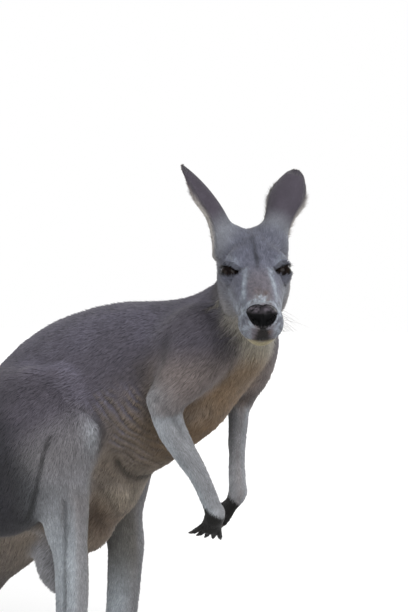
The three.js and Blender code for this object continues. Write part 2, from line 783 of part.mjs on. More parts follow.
// The trunk's parts and the thighs are cut from one form, so that their skins meet.
const torso = await flesh(WORLD, [-340, -175, 170], [290, 175, 700], [21, 19, 20]);
const limbRoom = [...sides.flatMap((s) => [arm[s].cleared, leg[s].cleared]), bag.cleared];
const neckFlesh = await flesh(WORLD, [150, -100, 520], [350, 80, 770], [14, 14, 14]);
node("neck", less(neckFlesh, atHead.front, atNeck.back, ...limbRoom), "coat");
node("chest", less(torso, atNeck.front, atChest.back, ...limbRoom), "coat");
node("loins", less(torso, atChest.front, atLoin.back, ...limbRoom), "coat");
node("rump", less(torso, atLoin.front, atRump.back, ...limbRoom), "coat");
const bagFlesh = await flesh(WORLD, [-150, -100, 190], [110, 100, 480], [17, 16, 17]);
const legRoom = sides.map((s) => leg[s].cleared);
node("pouch", less(bagFlesh.intersect(bag.held), ...legRoom), "pale");

// The tail.
const baseFrame = limbFrame([-395, 0, 93], [-222, 0, 300]);
const baseFlesh = await flesh(baseFrame, [-40, -110, -130], [330, 110, 130], [24, 17, 17]);
node("tail_base", less(baseFlesh, atRump.front, atTail.back, floor, ...legRoom), "coat");
const middleFrame = limbFrame([-650, 0, 27], [-395, 0, 93]);
const middleFlesh = await flesh(middleFrame, [-40, -60, -60], [310, 60, 60], [34, 12, 12]);
node("tail_middle", less(middleFlesh, atTail.front, atTip.back, floor), "coat");
const tipFlesh = await flesh(WORLD, [-920, -40, -20], [-620, 40, 70], [30, 8, 8]);
node("tail_tip", less(tipFlesh, atTip.front, floor), "coat");

// Arms and hands.
for (const s of sides) {
  const [inner, outer] = spanY(s, 0, 150);
  const upper = await flesh(WORLD, [110, inner, 470], [300, outer, 690], [14, 12, 15]);
  node(`upper_arm_${side(s)}`, less(upper.intersect(arm[s].held), atElbow[s].back), "coat");
  const lowerFrame = limbFrame(wrist(s), [188, 96 * s, 520]);
  const lower = await flesh(lowerFrame, [-26, -34, -36], [190, 34, 36], [19, 7.5, 8]);
  const kept = lower.intersect(arm[s].held);
  node(`forearm_${side(s)}`, less(kept, atElbow[s].front, atWrist[s].back), "pale");
  const frame = handFrame(s);
  const claws = digits.map((i) => claw(handClawRows(i, s), frame.axes[1]));
  const hand = await flesh(frame, [-18, -34, -28], [58, 34, 22], [5.4, 4.2, 4.2]);
  const clawRoom = claws.map((c) => solid(grown(c, GAP)));
  const fitted = less(hand.intersect(arm[s].held), atWrist[s].front, ...clawRoom);
  node(`hand_${side(s)}`, fitted, "dark");
  claws.forEach((c, i) => node(`hand_claw_${side(s)}_${i + 1}`, solid(c), "horn"));
}

// Legs and feet.
for (const s of sides) {
  node(`thigh_${side(s)}`, less(torso.intersect(leg[s].held), atKnee[s].back), "coat");
  const shankFrame = limbFrame([legX(s) - 8, 82 * s, 80], [legX(s), 102 * s, 450]);
  const shank = await flesh(shankFrame, [-60, -56, -76], [430, 56, 76], [24, 10, 12]);
  const kept = shank.intersect(leg[s].held);
  node(`shank_${side(s)}`, less(kept, atKnee[s].front, atAnkle[s].back), "pale");
  const claws = Object.entries(footClawRows(s));
  const room = claws.map(([, rows]) => solid(grown(claw(rows, footFrame(s).axes[1]), GAP)));
  const foot = await flesh(footFrame(s), [-80, -56, -14], [285, 56, 120], [13, 8, 8]);
  node(`foot_${side(s)}`, less(foot, atAnkle[s].front, floor, ...room), "dark");
  for (const [name, rows] of claws)
    node(`foot_claw_${side(s)}_${name}`, solid(claw(rows, footFrame(s).axes[1])), "horn");
}

// The origin goes to the middle of the bounding box's underside.
const bounds = new THREE.Box3().setFromObject(animal);
const middle = bounds.getCenter(new THREE.Vector3());
for (const { geometry } of animal.children) geometry.translate(-middle.x, -middle.y, -bounds.min.z);

export default animal;
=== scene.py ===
"""A female red kangaroo, standing: one skin with its markings, a coat of tufts, eyes, nose and claws.

Forms are worked out in millimetres in the body's own coordinates, with +X the way the body
faces, +Y its left side and +Z up, and go into the frame, in metres, when a mesh is made.
"""
import math

import bpy
import numpy as np
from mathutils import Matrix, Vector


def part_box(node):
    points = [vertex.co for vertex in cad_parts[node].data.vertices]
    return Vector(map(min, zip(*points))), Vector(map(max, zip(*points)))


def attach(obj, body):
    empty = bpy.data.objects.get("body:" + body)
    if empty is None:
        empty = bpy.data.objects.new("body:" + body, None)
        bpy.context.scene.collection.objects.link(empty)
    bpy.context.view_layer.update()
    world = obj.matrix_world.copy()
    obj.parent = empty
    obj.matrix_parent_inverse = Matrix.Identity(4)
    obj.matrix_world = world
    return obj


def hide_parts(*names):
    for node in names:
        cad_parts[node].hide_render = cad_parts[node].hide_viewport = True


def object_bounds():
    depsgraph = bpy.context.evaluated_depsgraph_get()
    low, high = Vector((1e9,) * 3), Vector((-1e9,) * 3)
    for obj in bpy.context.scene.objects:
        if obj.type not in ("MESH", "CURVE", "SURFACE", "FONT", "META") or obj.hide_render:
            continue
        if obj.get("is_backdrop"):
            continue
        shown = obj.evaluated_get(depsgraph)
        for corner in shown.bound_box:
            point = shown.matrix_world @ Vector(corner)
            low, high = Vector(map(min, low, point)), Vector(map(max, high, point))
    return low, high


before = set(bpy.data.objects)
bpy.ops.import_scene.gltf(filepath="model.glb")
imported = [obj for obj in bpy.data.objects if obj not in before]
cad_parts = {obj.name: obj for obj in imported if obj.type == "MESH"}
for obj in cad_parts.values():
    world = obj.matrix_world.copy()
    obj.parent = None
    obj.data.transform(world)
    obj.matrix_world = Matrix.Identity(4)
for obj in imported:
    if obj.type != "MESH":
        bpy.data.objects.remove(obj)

import openvdb
from mathutils import Matrix

cad_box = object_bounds()
MM = 0.001
FLOAT = np.float32


# ---------------------------------------------------------------- frames
def unit(v):
    v = np.asarray(v, float)
    return v / np.maximum(np.linalg.norm(v, axis=-1, keepdims=True), 1e-9)


def norm(v):
    return np.linalg.norm(v, axis=-1)


def mirrored(v, s):
    """Places given for the left side, on the side s: 1 is left and -1 right."""
    return np.array(v, float) * [1, s, 1]


def turned(origin, yaw, pitch, roll):
    """A frame: its origin, and its axes as the columns of a matrix. Angles in degrees."""
    z, y, x = (math.radians(a) for a in (yaw, pitch, roll))
    about_z = np.array([[math.cos(z), -math.sin(z), 0], [math.sin(z), math.cos(z), 0], [0, 0, 1]])
    about_y = np.array([[math.cos(y), 0, math.sin(y)], [0, 1, 0], [-math.sin(y), 0, math.cos(y)]])
    about_x = np.array([[1, 0, 0], [0, math.cos(x), -math.sin(x)], [0, math.sin(x), math.cos(x)]])
    return np.asarray(origin, float), about_z @ about_y @ about_x


def to_world(own, p):
    return own[0] + np.asarray(p, float) @ own[1].T


def to_local(own, p):
    return ((p - own[0].astype(FLOAT)) @ own[1].astype(FLOAT)).astype(FLOAT)


def within(own, at, yaw, pitch):
    """A frame at a point of another, turned inside it."""
    return to_world(own, at), own[1] @ turned([0, 0, 0], yaw, pitch, 0)[1]


def in_frame(own, rows):
    return [[*to_world(own, row[:3]), *row[3:]] for row in rows]


HEAD_PITCH = 28
WORLD = turned([0, 0, 0], 0, 0, 0)
HEAD = turned([322, -86, 687], -54, HEAD_PITCH, 1.5)
Y = np.array([0.0, 1, 0])
SIDES = {"left": 1, "right": -1}
EYE = {"at": np.array([3, 31.5, 8]), "radius": 13.5}


def centre_of(node):
    low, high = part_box(node)
    return (np.array(low) + np.array(high)) / 2


eyes_middle = (centre_of("eye_left") + centre_of("eye_right")) / 2
SHIFT = eyes_middle / MM - to_world(HEAD, EYE["at"] * [1, 0, 1])


def to_frame(p):
    return (np.asarray(p) + SHIFT) * MM


# ---------------------------------------------------------------- distances
FAR = 1e6
REACH = 60  # a shape further away than this leaves the distance as it is


def melt(a, b, k):
    """Smooth union of two distances, melting over the length k."""
    h = np.maximum(k - np.abs(a - b), 0) / k
    return np.minimum(a, b) - h * h * k * 0.25


def smooth(start, end, x):
    t = np.clip((x - start) / (end - start), 0, 1)
    return t * t * (3 - 2 * t)


def bell(x, width):
    return np.exp(-((x / width) ** 2))


def through(rows, steps):
    """Catmull-Rom through rows of numbers, with steps new rows per span."""
    rows = np.asarray(rows, float)
    places = np.arange(len(rows) - 1)
    t = (np.arange(steps) / steps)[None, :, None]
    before, here, after, last = (
        rows[np.clip(places + i, 0, len(rows) - 1)][:, None] for i in (-1, 0, 1, 2)
    )
    curve = 2 * here + (after - before) * t + (2 * before - 5 * here + 4 * after - last) * t**2
    curve = 0.5 * (curve + (3 * here - before - 3 * after + last) * t**3)
    return np.vstack([curve.reshape(-1, rows.shape[1]), rows[-1:]])


def round_form(x, y, z, rx, ry, rz):
    """Distance to an ellipsoid-like form of three radii, from the offset in its own axes."""
    x, y, z = x / rx, y / ry, z / rz
    k0 = np.sqrt(x * x + y * y + z * z)
    x, y, z = x / rx, y / ry, z / rz
    k1 = np.sqrt(x * x + y * y + z * z) + 1e-9
    return k0 * (k0 - 1) / k1


class Tube:
    """Elliptical sections along a curve. Rows are x, y, z, half width, half depth."""

    def __init__(self, rows, side, melting, steps=4):
        self.rings = through(rows, steps).astype(FLOAT)
        run = np.diff(self.rings[:, :3], axis=0)
        self.lengths = norm(run)
        self.along = unit(run).astype(FLOAT)
        across = side - (self.along @ np.asarray(side, FLOAT))[:, None] * self.along
        self.across = unit(across).astype(FLOAT)
        self.up = np.cross(self.along, self.across).astype(FLOAT)
        self.melting = melting
        most = self.rings[:, 3:5].max()
        self.low = self.rings[:, :3].min(0) - most
        self.high = self.rings[:, :3].max(0) + most

    def from_span(self, i, p):
        """Distance to one span between two sections."""
        d = p - self.rings[i, :3]
        x, y, z = d @ self.across[i], d @ self.up[i], d @ self.along[i]
        k = np.clip(z / self.lengths[i], 0, 1)
        wide, deep = (self.rings[i, c] + (self.rings[i + 1, c] - self.rings[i, c]) * k for c in (3, 4))
        return round_form(x, y, z - k * self.lengths[i], wide, deep, (wide + deep) / 2)

    def distance(self, p):
        best = np.full(len(p), FAR, FLOAT)
        for i in range(len(self.lengths)):
            best = np.minimum(best, self.from_span(i, p))
        return best

    def way(self, p):
        """The way in which the nearest span runs."""
        best = np.full(len(p), FAR, FLOAT)
        way = np.zeros((len(p), 3), FLOAT)
        for i in range(len(self.lengths)):
            d = self.from_span(i, p)
            nearer = d < best
            best[nearer] = d[nearer]
            way[nearer] = self.along[i]
        return way


class Lump:
    """An ellipsoid at a point of a frame, turned inside it."""

    def __init__(self, own, at, radii, melting, pitch=0, yaw=0):
        self.frame = within(own, at, yaw, pitch)
        self.radii = radii
        self.melting = melting
        self.low = self.frame[0] - max(radii)
        self.high = self.frame[0] + max(radii)

    def distance(self, p):
        return round_form(*to_local(self.frame, p).T, *self.radii)


# ---------------------------------------------------------------- the animal's form
# x, y, z, half width and half depth of each section, as the solids have them.
TRUNK = [
    [213, 0, 600, 56, 63],
    [165, 0, 573, 73, 86],
    [105, 0, 549, 88, 110],
    [40, 0, 527, 100, 127],
    [-28, 0, 499, 110, 132],
    [-88, 0, 456, 110, 126],
    [-145, 0, 399, 100, 115],
    [-196, 0, 340, 82, 98],
]
TAIL = [
    [-190, 0, 365, 80, 98],
    [-243, 0, 268, 62, 74],
    [-290, 0, 200, 50, 57],
    [-338, 0, 142, 44, 47],
    [-395, 0, 93, 39, 41],
    [-465, 0, 60, 35, 36],
    [-560, 0, 38, 30, 31],
    [-680, 0, 25, 25, 26],
    [-790, 0, 17, 19, 20],
    [-885, 0, 9, 11, 12],
]
NECK = [
    [200, 0, 596, 55, 60],
    [236, -3, 620, 49, 61],
    [266, -17, 652, 45, 55],
    [288, -38, 680, 42, 50],
]
SKULL = [
    [-76, 0, -2, 32, 30],
    [-56, 0, -5, 41, 44],
    [-26, 0, -9, 41, 54],
    [4, 0, -11, 36.5, 48],
    [34, 0, -13, 32, 41],
    [64, 0, -14, 27, 34],
    [88, 0, -16, 24, 29],
    [100, 0, -17, 18, 21],
]
STAGGER = 17
KNEE_STAGGER = 21
TOES_OUT = 12
DIGITS = 5
DIGIT = {"spread": 11, "length": 20, "claw": 15}


def head_lumps(s):
    return [
        Lump(HEAD, [5, 28.5 * s, 25], [21, 13, 9], 12, 12, 22 * s),
        Lump(HEAD, [-20, 32.5 * s, -14], [30, 10.5, 15], 14, 8, -6 * s),
        Lump(HEAD, [-26, 28 * s, -38], [27, 14, 25], 16),
        Lump(HEAD, [88, 13 * s, -20], [19, 14, 15], 10),
        Lump(HEAD, [-52, 24 * s, 25], [20, 15, 15], 16),
    ]


def wrist(s):
    return np.array([223, -27, 366] if s < 0 else [223, 30, 388], float)


def hand_frame(s):
    x = unit([-0.54, 0.33, -0.78] if s < 0 else [-0.62, 0.1, -0.78])
    across = np.array([-0.84 * s, 0.54, 0])
    y = unit(across - x * (across @ x))
    return wrist(s), np.stack([x, y, np.cross(x, y)], 1)


def digit_point(i, reach):
    slant = (i - (DIGITS - 1) / 2) * DIGIT["spread"]
    a = math.radians(slant)
    return [22 + reach * math.cos(a), slant * 0.5 + reach * math.sin(a), -0.011 * reach * reach]


def digit_rows(i):
    return [[*digit_point(i, k * DIGIT["length"]), 4.2 - 0.5 * k, 4.4 - 0.6 * k] for k in (0, 0.5, 1)]


def hand_claw_rows(i):
    rows = []
    for k in (-0.15, 0.3, 0.68, 1):
        share = 1 - max(k, 0) ** 2
        rows.append([*digit_point(i, DIGIT["length"] + k * DIGIT["claw"]), 2.2 * share, 2.7 * share])
    return rows


def leg_x(s):
    return -s * STAGGER


def foot_frame(s):
    return turned([leg_x(s) - 12, 82 * s, 0], s * TOES_OUT, 0, 0)


def in_foot(s, rows):
    return in_frame(foot_frame(s), [[x, y * s, *rest] for x, y, *rest in rows])


# One of the two small grooming claws, with its way out from the line between them.
GROOMING_Y = -19
GROOMING = [[191, 2.5, 8.5, 2, 3], [200, 3, 8.5, 1.9, 2.8], [209, 3.5, 6.5, 1.4, 2], [217, 4, 3.5, 0, 0]]
FOOT_CLAWS = {
    "big": [[246, 6, 11, 6.2, 7], [266, 6, 11.5, 5.2, 6], [282, 6, 8.5, 3.2, 3.8], [295, 6, 3.5, 0, 0]],
    "outer": [[198, 30, 9, 3.8, 4.3], [210, 31, 8.5, 3.2, 3.7], [222, 32, 6, 2, 2.4], [231, 32.5, 3, 0, 0]],
    "inner": [[x, GROOMING_Y - apart, *rest] for x, apart, *rest in GROOMING],
    "second": [[x, GROOMING_Y + apart, *rest] for x, apart, *rest in GROOMING],
}


def arm_parts(s):
    at = wrist(s)
    arm = [[240, 56 * s, 604, 24, 36], [216, 82 * s, 564, 23, 34], [188, 96 * s, 524, 18, 25]]
    forearm = [
        [184, 96 * s, 526, 16, 22],
        [191, 84 * s, 484, 15, 20],
        [at[0] - 14, at[1] + 20 * s, at[2] + 56, 12, 14],
        [at[0] - 3, at[1] + 4 * s, at[2] + 14, 11.5, 13.5],
        [at[0] - 2, at[1], at[2] - 2, 11, 12.5],
    ]
    own = hand_frame(s)
    palm = in_frame(own, [[-6, 0, 0, 12, 11], [10, 0, 0, 14, 9], [24, 0, -1, 14, 8]])
    fingers = [Tube(in_frame(own, digit_rows(i)), own[1][:, 1], 2, 2) for i in range(DIGITS)]
    shoulder = Lump(WORLD, [205, 62 * s, 590], [46, 24, 62], 30, 25)
    return {
        "arm": [shoulder, Tube(arm, np.array([0.3, s, 0]), 24)],
        "forearm": [Tube(forearm, unit([0.6, s, 0]), 12)],
        "hand": [Tube(palm, own[1][:, 1], 6), *fingers],
    }


def leg_parts(s):
    x = leg_x(s)
    hip = x * 0.6
    knee = -s * KNEE_STAGGER
    thigh = [
        [hip - 150, 70 * s, 425, 50, 95],
        [hip - 95, 92 * s, 445, 56, 112],
        [hip - 40, 106 * s, 466, 52, 92],
        [hip + 12, 110 * s, 468, 42, 56],
    ]
    shank = [
        [knee + 8, 108 * s, 462, 38, 40],
        [knee - 5, 104 * s, 425, 36, 48],
        [knee - 6, 98 * s, 385, 32, 46],
        [knee - 3, 92 * s, 340, 25, 37],
        [x + 6, 88 * s, 290, 20, 30],
        [x + 4, 85 * s, 220, 18, 27],
        [x - 2, 83 * s, 150, 17, 25],
        [x - 8, 82 * s, 100, 18, 26],
        [x - 12, 82 * s, 62, 20, 30],
    ]
    sole = [
        [-38, 0, 44, 15, 20],
        [-14, 0, 36, 20, 32],
        [30, 0, 28, 22, 27],
        [90, 0, 19, 22, 20],
        [150, 0, 14, 23, 16],
        [190, 3, 12, 20, 14],
    ]
    big_toe = [[170, 4, 13, 14, 14], [215, 5, 12, 13, 13], [256, 6, 10, 11, 11]]
    outer_toe = [[140, 20, 10, 10, 12], [175, 27, 9, 9, 10], [204, 30, 8, 8, 9]]
    inner_toes = [[130, -16, 11, 8, 11], [165, -19, 10, 7, 9], [196, -19, 8, 6.5, 7.5]]
    across = foot_frame(s)[1][:, 1]
    toes = ((sole, 14), (big_toe, 8), (outer_toe, 5), (inner_toes, 5))
    hamstrings = Lump(WORLD, [-118 + hip, 88 * s, 385], [62, 44, 66], 26, 30)
    return {
        "thigh": [Tube(thigh, Y, 34), hamstrings],
        "shank": [Tube(shank, across, 20)],
        "foot": [Tube(in_foot(s, rows), across, melting) for rows, melting in toes],
    }


def all_parts():
    head_side = HEAD[1][:, 1]
    nose_pad = Lump(HEAD, [100, 0, -4], [13, 18.5, 16], 6, 12)
    chin = Lump(HEAD, [84, 0, -38], [17, 14, 10], 10)
    skull = Tube(in_frame(HEAD, SKULL), head_side, 26)
    found = {
        "trunk": [Tube(TRUNK, Y, 30)],
        "tail": [Tube(TAIL, Y, 30)],
        "neck": [Tube(NECK, (head_side + Y) / 2, 40)],
        "head": [skull, *head_lumps(1), *head_lumps(-1), nose_pad, chin],
        "breast": [Lump(WORLD, [150, 0, 531], [60, 50, 44], 36, 35)],
    }
    for side, s in SIDES.items():
        for name, shapes in {**arm_parts(s), **leg_parts(s)}.items():
            found[f"{name}_{side}"] = shapes
    found["pouch"] = [
        Lump(WORLD, [8, 0, 394], [60, 62, 58], 34, 40),
        Lump(WORLD, [-36, 0, 340], [58, 54, 48], 30, 40),
        Lump(WORLD, [-74, 0, 275], [30, 34, 52], 22, -12),
    ]
    return found


PARTS = all_parts()


def near(shape, p, by=REACH):
    return np.flatnonzero(((p > shape.low - by) & (p < shape.high + by)).all(1))


def body(p):
    """The solids' own field: all the shapes melted together in order."""
    d = np.full(len(p), FAR, FLOAT)
    for shape in (shape for shapes in PARTS.values() for shape in shapes):
        i = near(shape, p)
        here = shape.distance(p[i])
        d[i] = np.where(d[i] == FAR, here, melt(d[i], here, shape.melting))
    return d


# ---------------------------------------------------------------- ears
# Rows are share of the length, half of the arc across, and half of its angle in degrees. The leaf
# in front is thinner than the solid by twice the length named "bare".
EAR = {"root": [-49, 20, 32], "length": 119, "thick": 4.6, "bend": 9, "bare": 0.7}
EAR_ROWS = [
    [0, 51, 150],
    [0.16, 41, 125],
    [0.36, 33, 98],
    [0.58, 34, 77],
    [0.76, 27, 63],
    [0.89, 18, 50],
    [0.96, 12, 42],
    [1, 5, 38],
]
EAR_POINTS = {1: [-0.49, 0.375, 0.785], -1: [0.03, -0.58, 0.814]}
EAR_BACKS = {1: [0.95, -0.3, 0], -1: [0.2, 0.98, 0]}


class Ear:
    """A leaf rolled into a cup. Its own x runs to the tip and its back faces +z."""

    def __init__(self, s):
        level = turned([0, 0, 0], 0, -HEAD_PITCH, 0)[1]
        x = unit(HEAD[1] @ level @ EAR_POINTS[s])
        back = HEAD[1] @ level @ EAR_BACKS[s]
        z = unit(back - x * (back @ x))
        root = mirrored(EAR["root"], s)
        self.frame = to_world(HEAD, root), np.stack([x, np.cross(z, x), z], 1)
        self.rows = through(EAR_ROWS, 6)
        ends = to_world(self.frame, [[0, 0, 0], [EAR["length"], 0, 0]])
        self.low, self.high = ends.min(0) - 30, ends.max(0) + 30

    def place(self, p):
        """Share of the length, share across, distance outward of the leaf's middle, half thickness."""
        x, y, z = to_local(self.frame, p).T
        t = x / EAR["length"]
        arc = np.interp(t, self.rows[:, 0], self.rows[:, 1])
        angle = np.radians(np.interp(t, self.rows[:, 0], self.rows[:, 2]))
        radius = arc / angle
        z = z + radius - EAR["bend"] * (1 - (2 * np.clip(t, 0, 1) - 1) ** 2)
        across = np.arctan2(y, z) / angle
        thick = EAR["thick"] * (1 - 0.6 * np.clip(t, 0, 1))
        thick = thick * np.minimum(1, (1 - np.clip(np.abs(across), 0, 1) ** 4) * 0.75 + 0.25)
        return t, across, np.hypot(y, z) - radius + thick / 2, thick / 2 - EAR["bare"], arc

    def distance(self, p, least=0.8):
        t, across, out, half, arc = self.place(p)
        over_edge = np.maximum(np.abs(across) - 1, 0) * arc
        over_end = np.maximum(np.maximum(-t, t - 1), 0) * EAR["length"]
        return np.sqrt(out**2 + over_edge**2 + over_end**2) - np.maximum(half, least)

    def melting(self, p):
        """Over what length it melts into the head: long at its root, which widens into the crown."""
        return 5 + 21 * smooth(0.46, 0, to_local(self.frame, p)[:, 0] / EAR["length"])


EARS = {side: Ear(s) for side, s in SIDES.items()}


def form(p, thicker=0.0):
    """The whole outline: the body with the ears melted in, as leaves of at least a thickness."""
    d = body(p)
    for ear in EARS.values():
        i = near(ear, p, 25)
        d[i] = melt(d[i], ear.distance(p[i], 0.8 + 1.8 * thicker), ear.melting(p[i]))
    return d


def noise(p, size, seed):
    """Smooth noise from -1 to 1 at the points, with lumps of the given size."""
    cells = 32
    table = np.random.default_rng(seed).uniform(-1, 1, (cells,) * 3).astype(FLOAT)
    q = np.asarray(p, FLOAT) / size
    low = np.floor(q).astype(int)
    t = q - low
    t = t * t * (3 - 2 * t)
    total = np.zeros(len(q), FLOAT)
    for corner in np.indices((2, 2, 2)).reshape(3, -1).T:
        share = np.where(corner, t, 1 - t).prod(1)
        total += share * table[tuple(((low + corner) % cells).T)]
    return total


def streaks(p, centre_line, width, n=None):
    """How much each point lies on a line through the given points: 1 on it, 0 away from it.

    With normals, the distance is measured along the skin, so the line may lie a little off it.
    """
    best = np.full(len(p), FAR, FLOAT)
    line = through(centre_line, 5).astype(FLOAT)
    for a, b in zip(line[:-1], line[1:]):
        run = b - a
        t = np.clip((p - a) @ run / max(run @ run, 1e-6), 0, 1)
        off = a + t[:, None] * run - p
        if n is not None:
            off = off - (off * n).sum(1)[:, None] * n * 0.85
        best = np.minimum(best, (off * off).sum(1))
    return bell(np.sqrt(best), width)


# ---------------------------------------------------------------- eyes, nose and mouth
UP = HEAD[1].T @ [0, 0, 1]  # the world's up, in the head's own axes
AHEAD = unit(np.cross([0, 1, 0], UP))
NOSE = {"at": np.array([112, 0, -4]), "half": 19, "from": 82}
# Azimuth round the eyeball from straight ahead to the side, in degrees, then how high above the
# eyeball's middle the upper lid's edge and the lower one lie.
LIDS = [
    [-52, 0.9, 0.6],
    [-40, 2.0, -0.4],
    [-24, 5.2, -2.2],
    [-8, 8.0, -3.6],
    [15, 9.0, -4.2],
    [45, 9.1, -3.6],
    [75, 8.9, -2.4],
    [100, 7.8, -0.8],
    [118, 5.6, 1.4],
    [130, 4.0, 3.5],
]
LID_ROWS = through(LIDS, 5)
LID_THICK = 1.6


def eye_place(q, s):
    """Points of the head's frame seen from an eyeball: the gap inside the lids, how high above the
    upper lid's edge and below the lower lid's edge, and the distance from the eyeball's middle."""
    v = q - mirrored(EYE["at"], s)
    out, ahead, height = v[:, 1] * s, v @ AHEAD, v @ UP
    inner = -np.degrees(np.arcsin(np.clip(-out / EYE["radius"], 0, 1)))
    side = np.where(out > 0, np.degrees(np.arctan2(out, ahead)), np.where(ahead > 0, inner, -90))
    upper, lower = (np.interp(side, LID_ROWS[:, 0], LID_ROWS[:, i]) for i in (1, 2))
    over, under = height - upper, lower - height
    ends = np.minimum(10.6 + out, (LIDS[-1][0] - side) * math.radians(EYE["radius"]))
    inside = np.minimum(np.minimum(-over, -under), ends)
    return inside, over, under, norm(v), side


def nose_front(q):
    """Points of the head's frame as the nose shows from in front: across, height and share inside."""
    across, height = q[:, 1], (q - NOSE["at"]) @ UP
    a = np.clip(np.abs(across) / NOSE["half"], 0, 1)
    top = 11 + 10.5 * (1 - a**2.6) ** 0.5 - 1.6 * bell(across, 3)
    bottom = -8 + 18 * a**2.8
    beside = NOSE["half"] - np.abs(across)
    inside = np.minimum(np.minimum(top - height, height - bottom), beside)
    return across, height, np.minimum(inside, (q[:, 0] - NOSE["from"]) * 0.6)


MOUTH = [[118, 0, -26], [111, 9, -29], [101, 16, -31], [86, 21, -32], [68, 24, -31], [52, 26, -28]]


def nostrils(across, height):
    """A comma on each side: its round end near the middle, its tail up the wing of the nose."""
    a = np.abs(across)
    t = np.clip((a - 6) / 10, 0, 1)
    middle = -0.5 + 9.5 * t**1.3
    width = 3.0 - 1.9 * t
    return bell(height - middle, width) * smooth(2.5, 5.5, a) * smooth(17.5, 15.5, a)


# ---------------------------------------------------------------- what grows where
# Coat depth, length and width of a tuft, and how many tufts lie over each other.
COAT = {
    "trunk": (4.6, 10.5, 1.4, 1.95),
    "breast": (5, 11, 1.5, 2.0),
    "pouch": (5, 11, 1.5, 2.0),
    "tail": (4.5, 11, 1.6, 1.9),
    "neck": (4.5, 10.5, 1.4, 2.1),
    "head": (2.0, 6, 1.05, 2.3),
    "ear": (0.3, 3.2, 0.75, 1.6),
    "arm": (3.6, 9.5, 1.35, 2.05),
    "forearm": (2.2, 7, 1.15, 2.0),
    "hand": (1.0, 4, 0.9, 1.8),
    "thigh": (4.6, 10.5, 1.4, 1.95),
    "shank": (2.2, 7.5, 1.2, 1.8),
    "foot": (1.3, 5, 1.2, 1.2),
}
GROUPS = list(COAT)
BORDER = 7  # how gradually one part's coat gives way to the next


def group_of(part):
    return part.split("_")[0]


def shares(p):
    """How much each point belongs to each group."""
    d = np.full((len(GROUPS), len(p)), FAR, FLOAT)
    for name, shapes in {**PARTS, "ear": EARS.values()}.items():
        row = d[GROUPS.index(group_of(name))]
        for shape in shapes:
            i = near(shape, p)
            row[i] = np.minimum(row[i], shape.distance(p[i]))
    w = np.exp(-(d - d.min(0)) / BORDER)
    return w / w.sum(0)


def share_of(w, group):
    return w[GROUPS.index(group)]


def ear_edge(p):
    """How much each point lies in an ear's fringe and on its whole rim, and the way out over the rim."""
    fringe, rim, way = np.zeros(len(p), FLOAT), np.zeros(len(p), FLOAT), np.zeros((len(p), 3), FLOAT)
    for ear in EARS.values():
        i = near(ear, p)
        t, across, *_ = ear.place(p[i])
        side = smooth(0.74, 0.98, np.abs(across)) * smooth(-0.1, 0.05, t)
        tip = smooth(0.88, 0.98, t)
        fringe[i] = np.maximum(fringe[i], side * smooth(0.92, 0.6, t))
        rim[i] = np.maximum(rim[i], np.maximum(side, tip))
        way[i] += (side * np.sign(across))[:, None] * ear.frame[1][:, 1] + tip[:, None] * ear.frame[1][:, 0]
    return fringe, rim, way


def coat_here(p, w):
    """Depth, length, width and overlap of the coat at the points."""
    table = np.array([COAT[g] for g in GROUPS], FLOAT)
    depth, length, width, overlap = (w[:, :, None] * table[:, None]).sum(0).T
    head, ear = share_of(w, "head"), share_of(w, "ear")
    q = to_local(HEAD, p)
    front = smooth(-40, 70, q[:, 0]) * head
    crown = smooth(30, 0, q[:, 0]) * head
    fringe, rim, _ = ear_edge(p)
    fringe, rim = fringe * ear, rim * ear
    loose = wrinkled(p, w)
    depth = depth * (1 - 0.62 * front) + 0.6 * crown
    depth = depth * (1 - smooth(-3, 1, nose_front(q)[2]) * head) * (1 - 0.3 * loose)
    length = length * (1 - 0.42 * front) + 1.5 * crown
    length = (length * (1 - 0.35 * rim) + 6 * fringe) * (1 - 0.5 * loose)
    width = width * (1 - 0.3 * front) * (1 - 0.4 * rim)
    return depth, length, width, overlap * (1 + 1.2 * fringe)


def mixed(w, values):
    """The groups' directions or colours in their shares."""
    return sum(share_of(w, g)[:, None] * value for g, value in values.items())


def lie(p, w):
    """The way the coat lies at the points, before it is laid on the skin."""
    flows = {g: np.zeros((len(p), 3), FLOAT) for g in GROUPS}
    for name, shapes in PARTS.items():
        for tube in [shape for shape in shapes if isinstance(shape, Tube)][:1]:
            g = group_of(name)
            i = near(tube, p, 40)
            i = i[share_of(w, g)[i] > 0.01]
            flows[g][i] = tube.way(p[i])
    flows["trunk"] = flows["trunk"] * 0.75 + np.array([0, 0, -0.5])
    flows["neck"] = -flows["neck"] + np.array([-0.2, 0, -0.35])
    flows["arm"] = flows["arm"] + np.array([-0.4, 0, -0.4])
    even = {"thigh": [-0.42, 0, -0.9], "pouch": [-0.8, 0, -0.6], "breast": [-0.6, 0, -0.8]}
    even["head"] = -HEAD[1][:, 0] + HEAD[1][:, 2] * 0.12
    for g, way in even.items():
        flows[g] = np.tile(way, (len(p), 1))
    for s, ear in zip(SIDES.values(), EARS.values()):
        mine = (to_local(HEAD, p)[:, 1] * s) > 0
        flows["ear"][mine] = ear.frame[1][:, 0]
    fringe, _, way = ear_edge(p)
    flows["ear"] += 0.9 * fringe[:, None] * way
    return mixed(w, flows)


